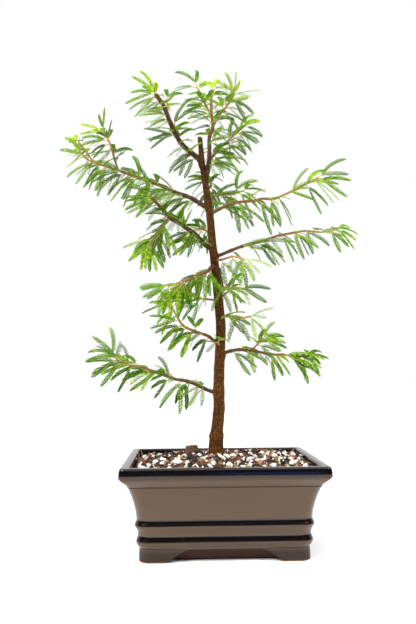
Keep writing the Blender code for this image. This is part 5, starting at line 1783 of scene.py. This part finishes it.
class BonsaiLeaves(bpy.types.PropertyGroup):
    """Sizes of the leaflets"""
    pitch: FloatProperty(name="Leaflet Pitch", description="Step from one pair of leaflets to the next",
                         default=0.00142, min=0.0006, max=0.004, unit="LENGTH")
    length: FloatProperty(name="Leaflet Length", description="Length of the longest leaflets",
                          default=0.0027, min=0.001, max=0.008, unit="LENGTH")
    width: FloatProperty(name="Leaflet Width", description="Width of a leaflet",
                         default=0.00145, min=0.0004, max=0.004, unit="LENGTH")
    thickness: FloatProperty(name="Leaflet Thickness", description="Thickness of a leaflet at its middle",
                             default=0.00022, min=0.0001, max=0.001, unit="LENGTH")
    angle: FloatProperty(name="Leaflet Angle", description="Angle between a leaflet and its rib",
                         default=math.radians(49), min=0.2, max=1.6, subtype="ANGLE")
    lift: FloatProperty(name="Leaflet Lift", description="How far leaflets rise out of the row's plane",
                        default=math.radians(14), min=-1.0, max=1.0, subtype="ANGLE")
    grown_colour: FloatVectorProperty(name="Grown Leaves", description="Colour of full-grown leaflets",
                                      default=srgb("558C0A"), size=4, min=0.0, max=1.0, subtype="COLOR")
    young_colour: FloatVectorProperty(name="Young Leaves", description="Colour of the youngest leaflets",
                                      default=srgb("E8EC4C"), size=4, min=0.0, max=1.0, subtype="COLOR")


class BonsaiStage(bpy.types.PropertyGroup):
    """Strength of the lights"""
    left_power: FloatProperty(name="Left Softbox", description="Power of the light front left",
                              default=26.0, min=0.0, unit="POWER")
    right_power: FloatProperty(name="Right Softbox", description="Power of the light on the right",
                               default=10.0, min=0.0, unit="POWER")
    window_power: FloatProperty(name="Window", description="Power of the blue window that the rim mirrors",
                                default=0.35, min=0.0, unit="POWER")
    window_colour: FloatVectorProperty(name="Window Colour", description="Colour of that window's daylight",
                                       default=srgb("3C7CFF")[:3], size=3, min=0.0, max=1.0, subtype="COLOR")
    room_light: FloatProperty(name="Room Light", description="Strength of the bright ceiling",
                              default=1.75, min=0.0)


GROUPS = {"bonsai_pot": BonsaiPot, "bonsai_soil": BonsaiSoil, "bonsai_tree": BonsaiTree,
          "bonsai_leaves": BonsaiLeaves, "bonsai_stage": BonsaiStage}
OPERATORS = (BONSAI_OT_pot, BONSAI_OT_soil, BONSAI_OT_trunk, BONSAI_OT_stems, BONSAI_OT_leaves,
             BONSAI_OT_stage)


class BONSAI_PT_panel(bpy.types.Panel):
    """Lists the bonsai's settings and the operators that build it"""
    bl_label = "Bonsai"
    bl_idname = "BONSAI_PT_panel"
    bl_space_type = "VIEW_3D"
    bl_region_type = "UI"
    bl_category = "Bonsai"

    def draw(self, context):
        for name, group in GROUPS.items():
            box = self.layout.box()
            for setting in group.__annotations__:
                box.prop(getattr(context.scene, name), setting)
        for operator in OPERATORS:
            self.layout.operator(operator.bl_idname)


def register():
    for group in GROUPS.values():
        bpy.utils.register_class(group)
    for name, group in GROUPS.items():
        setattr(bpy.types.Scene, name, PointerProperty(type=group))
    for operator in OPERATORS:
        bpy.utils.register_class(operator)
    bpy.utils.register_class(BONSAI_PT_panel)


def unregister():
    bpy.utils.unregister_class(BONSAI_PT_panel)
    for operator in reversed(OPERATORS):
        bpy.utils.unregister_class(operator)
    for name, group in GROUPS.items():
        delattr(bpy.types.Scene, name)
        bpy.utils.unregister_class(group)


def main():
    register()
    bpy.ops.bonsai.pot()
    bpy.ops.bonsai.soil()
    bpy.ops.bonsai.trunk()
    bpy.ops.bonsai.stems()
    bpy.ops.bonsai.leaves()
    bpy.ops.bonsai.stage()


if __name__ == "__main__":
    main()
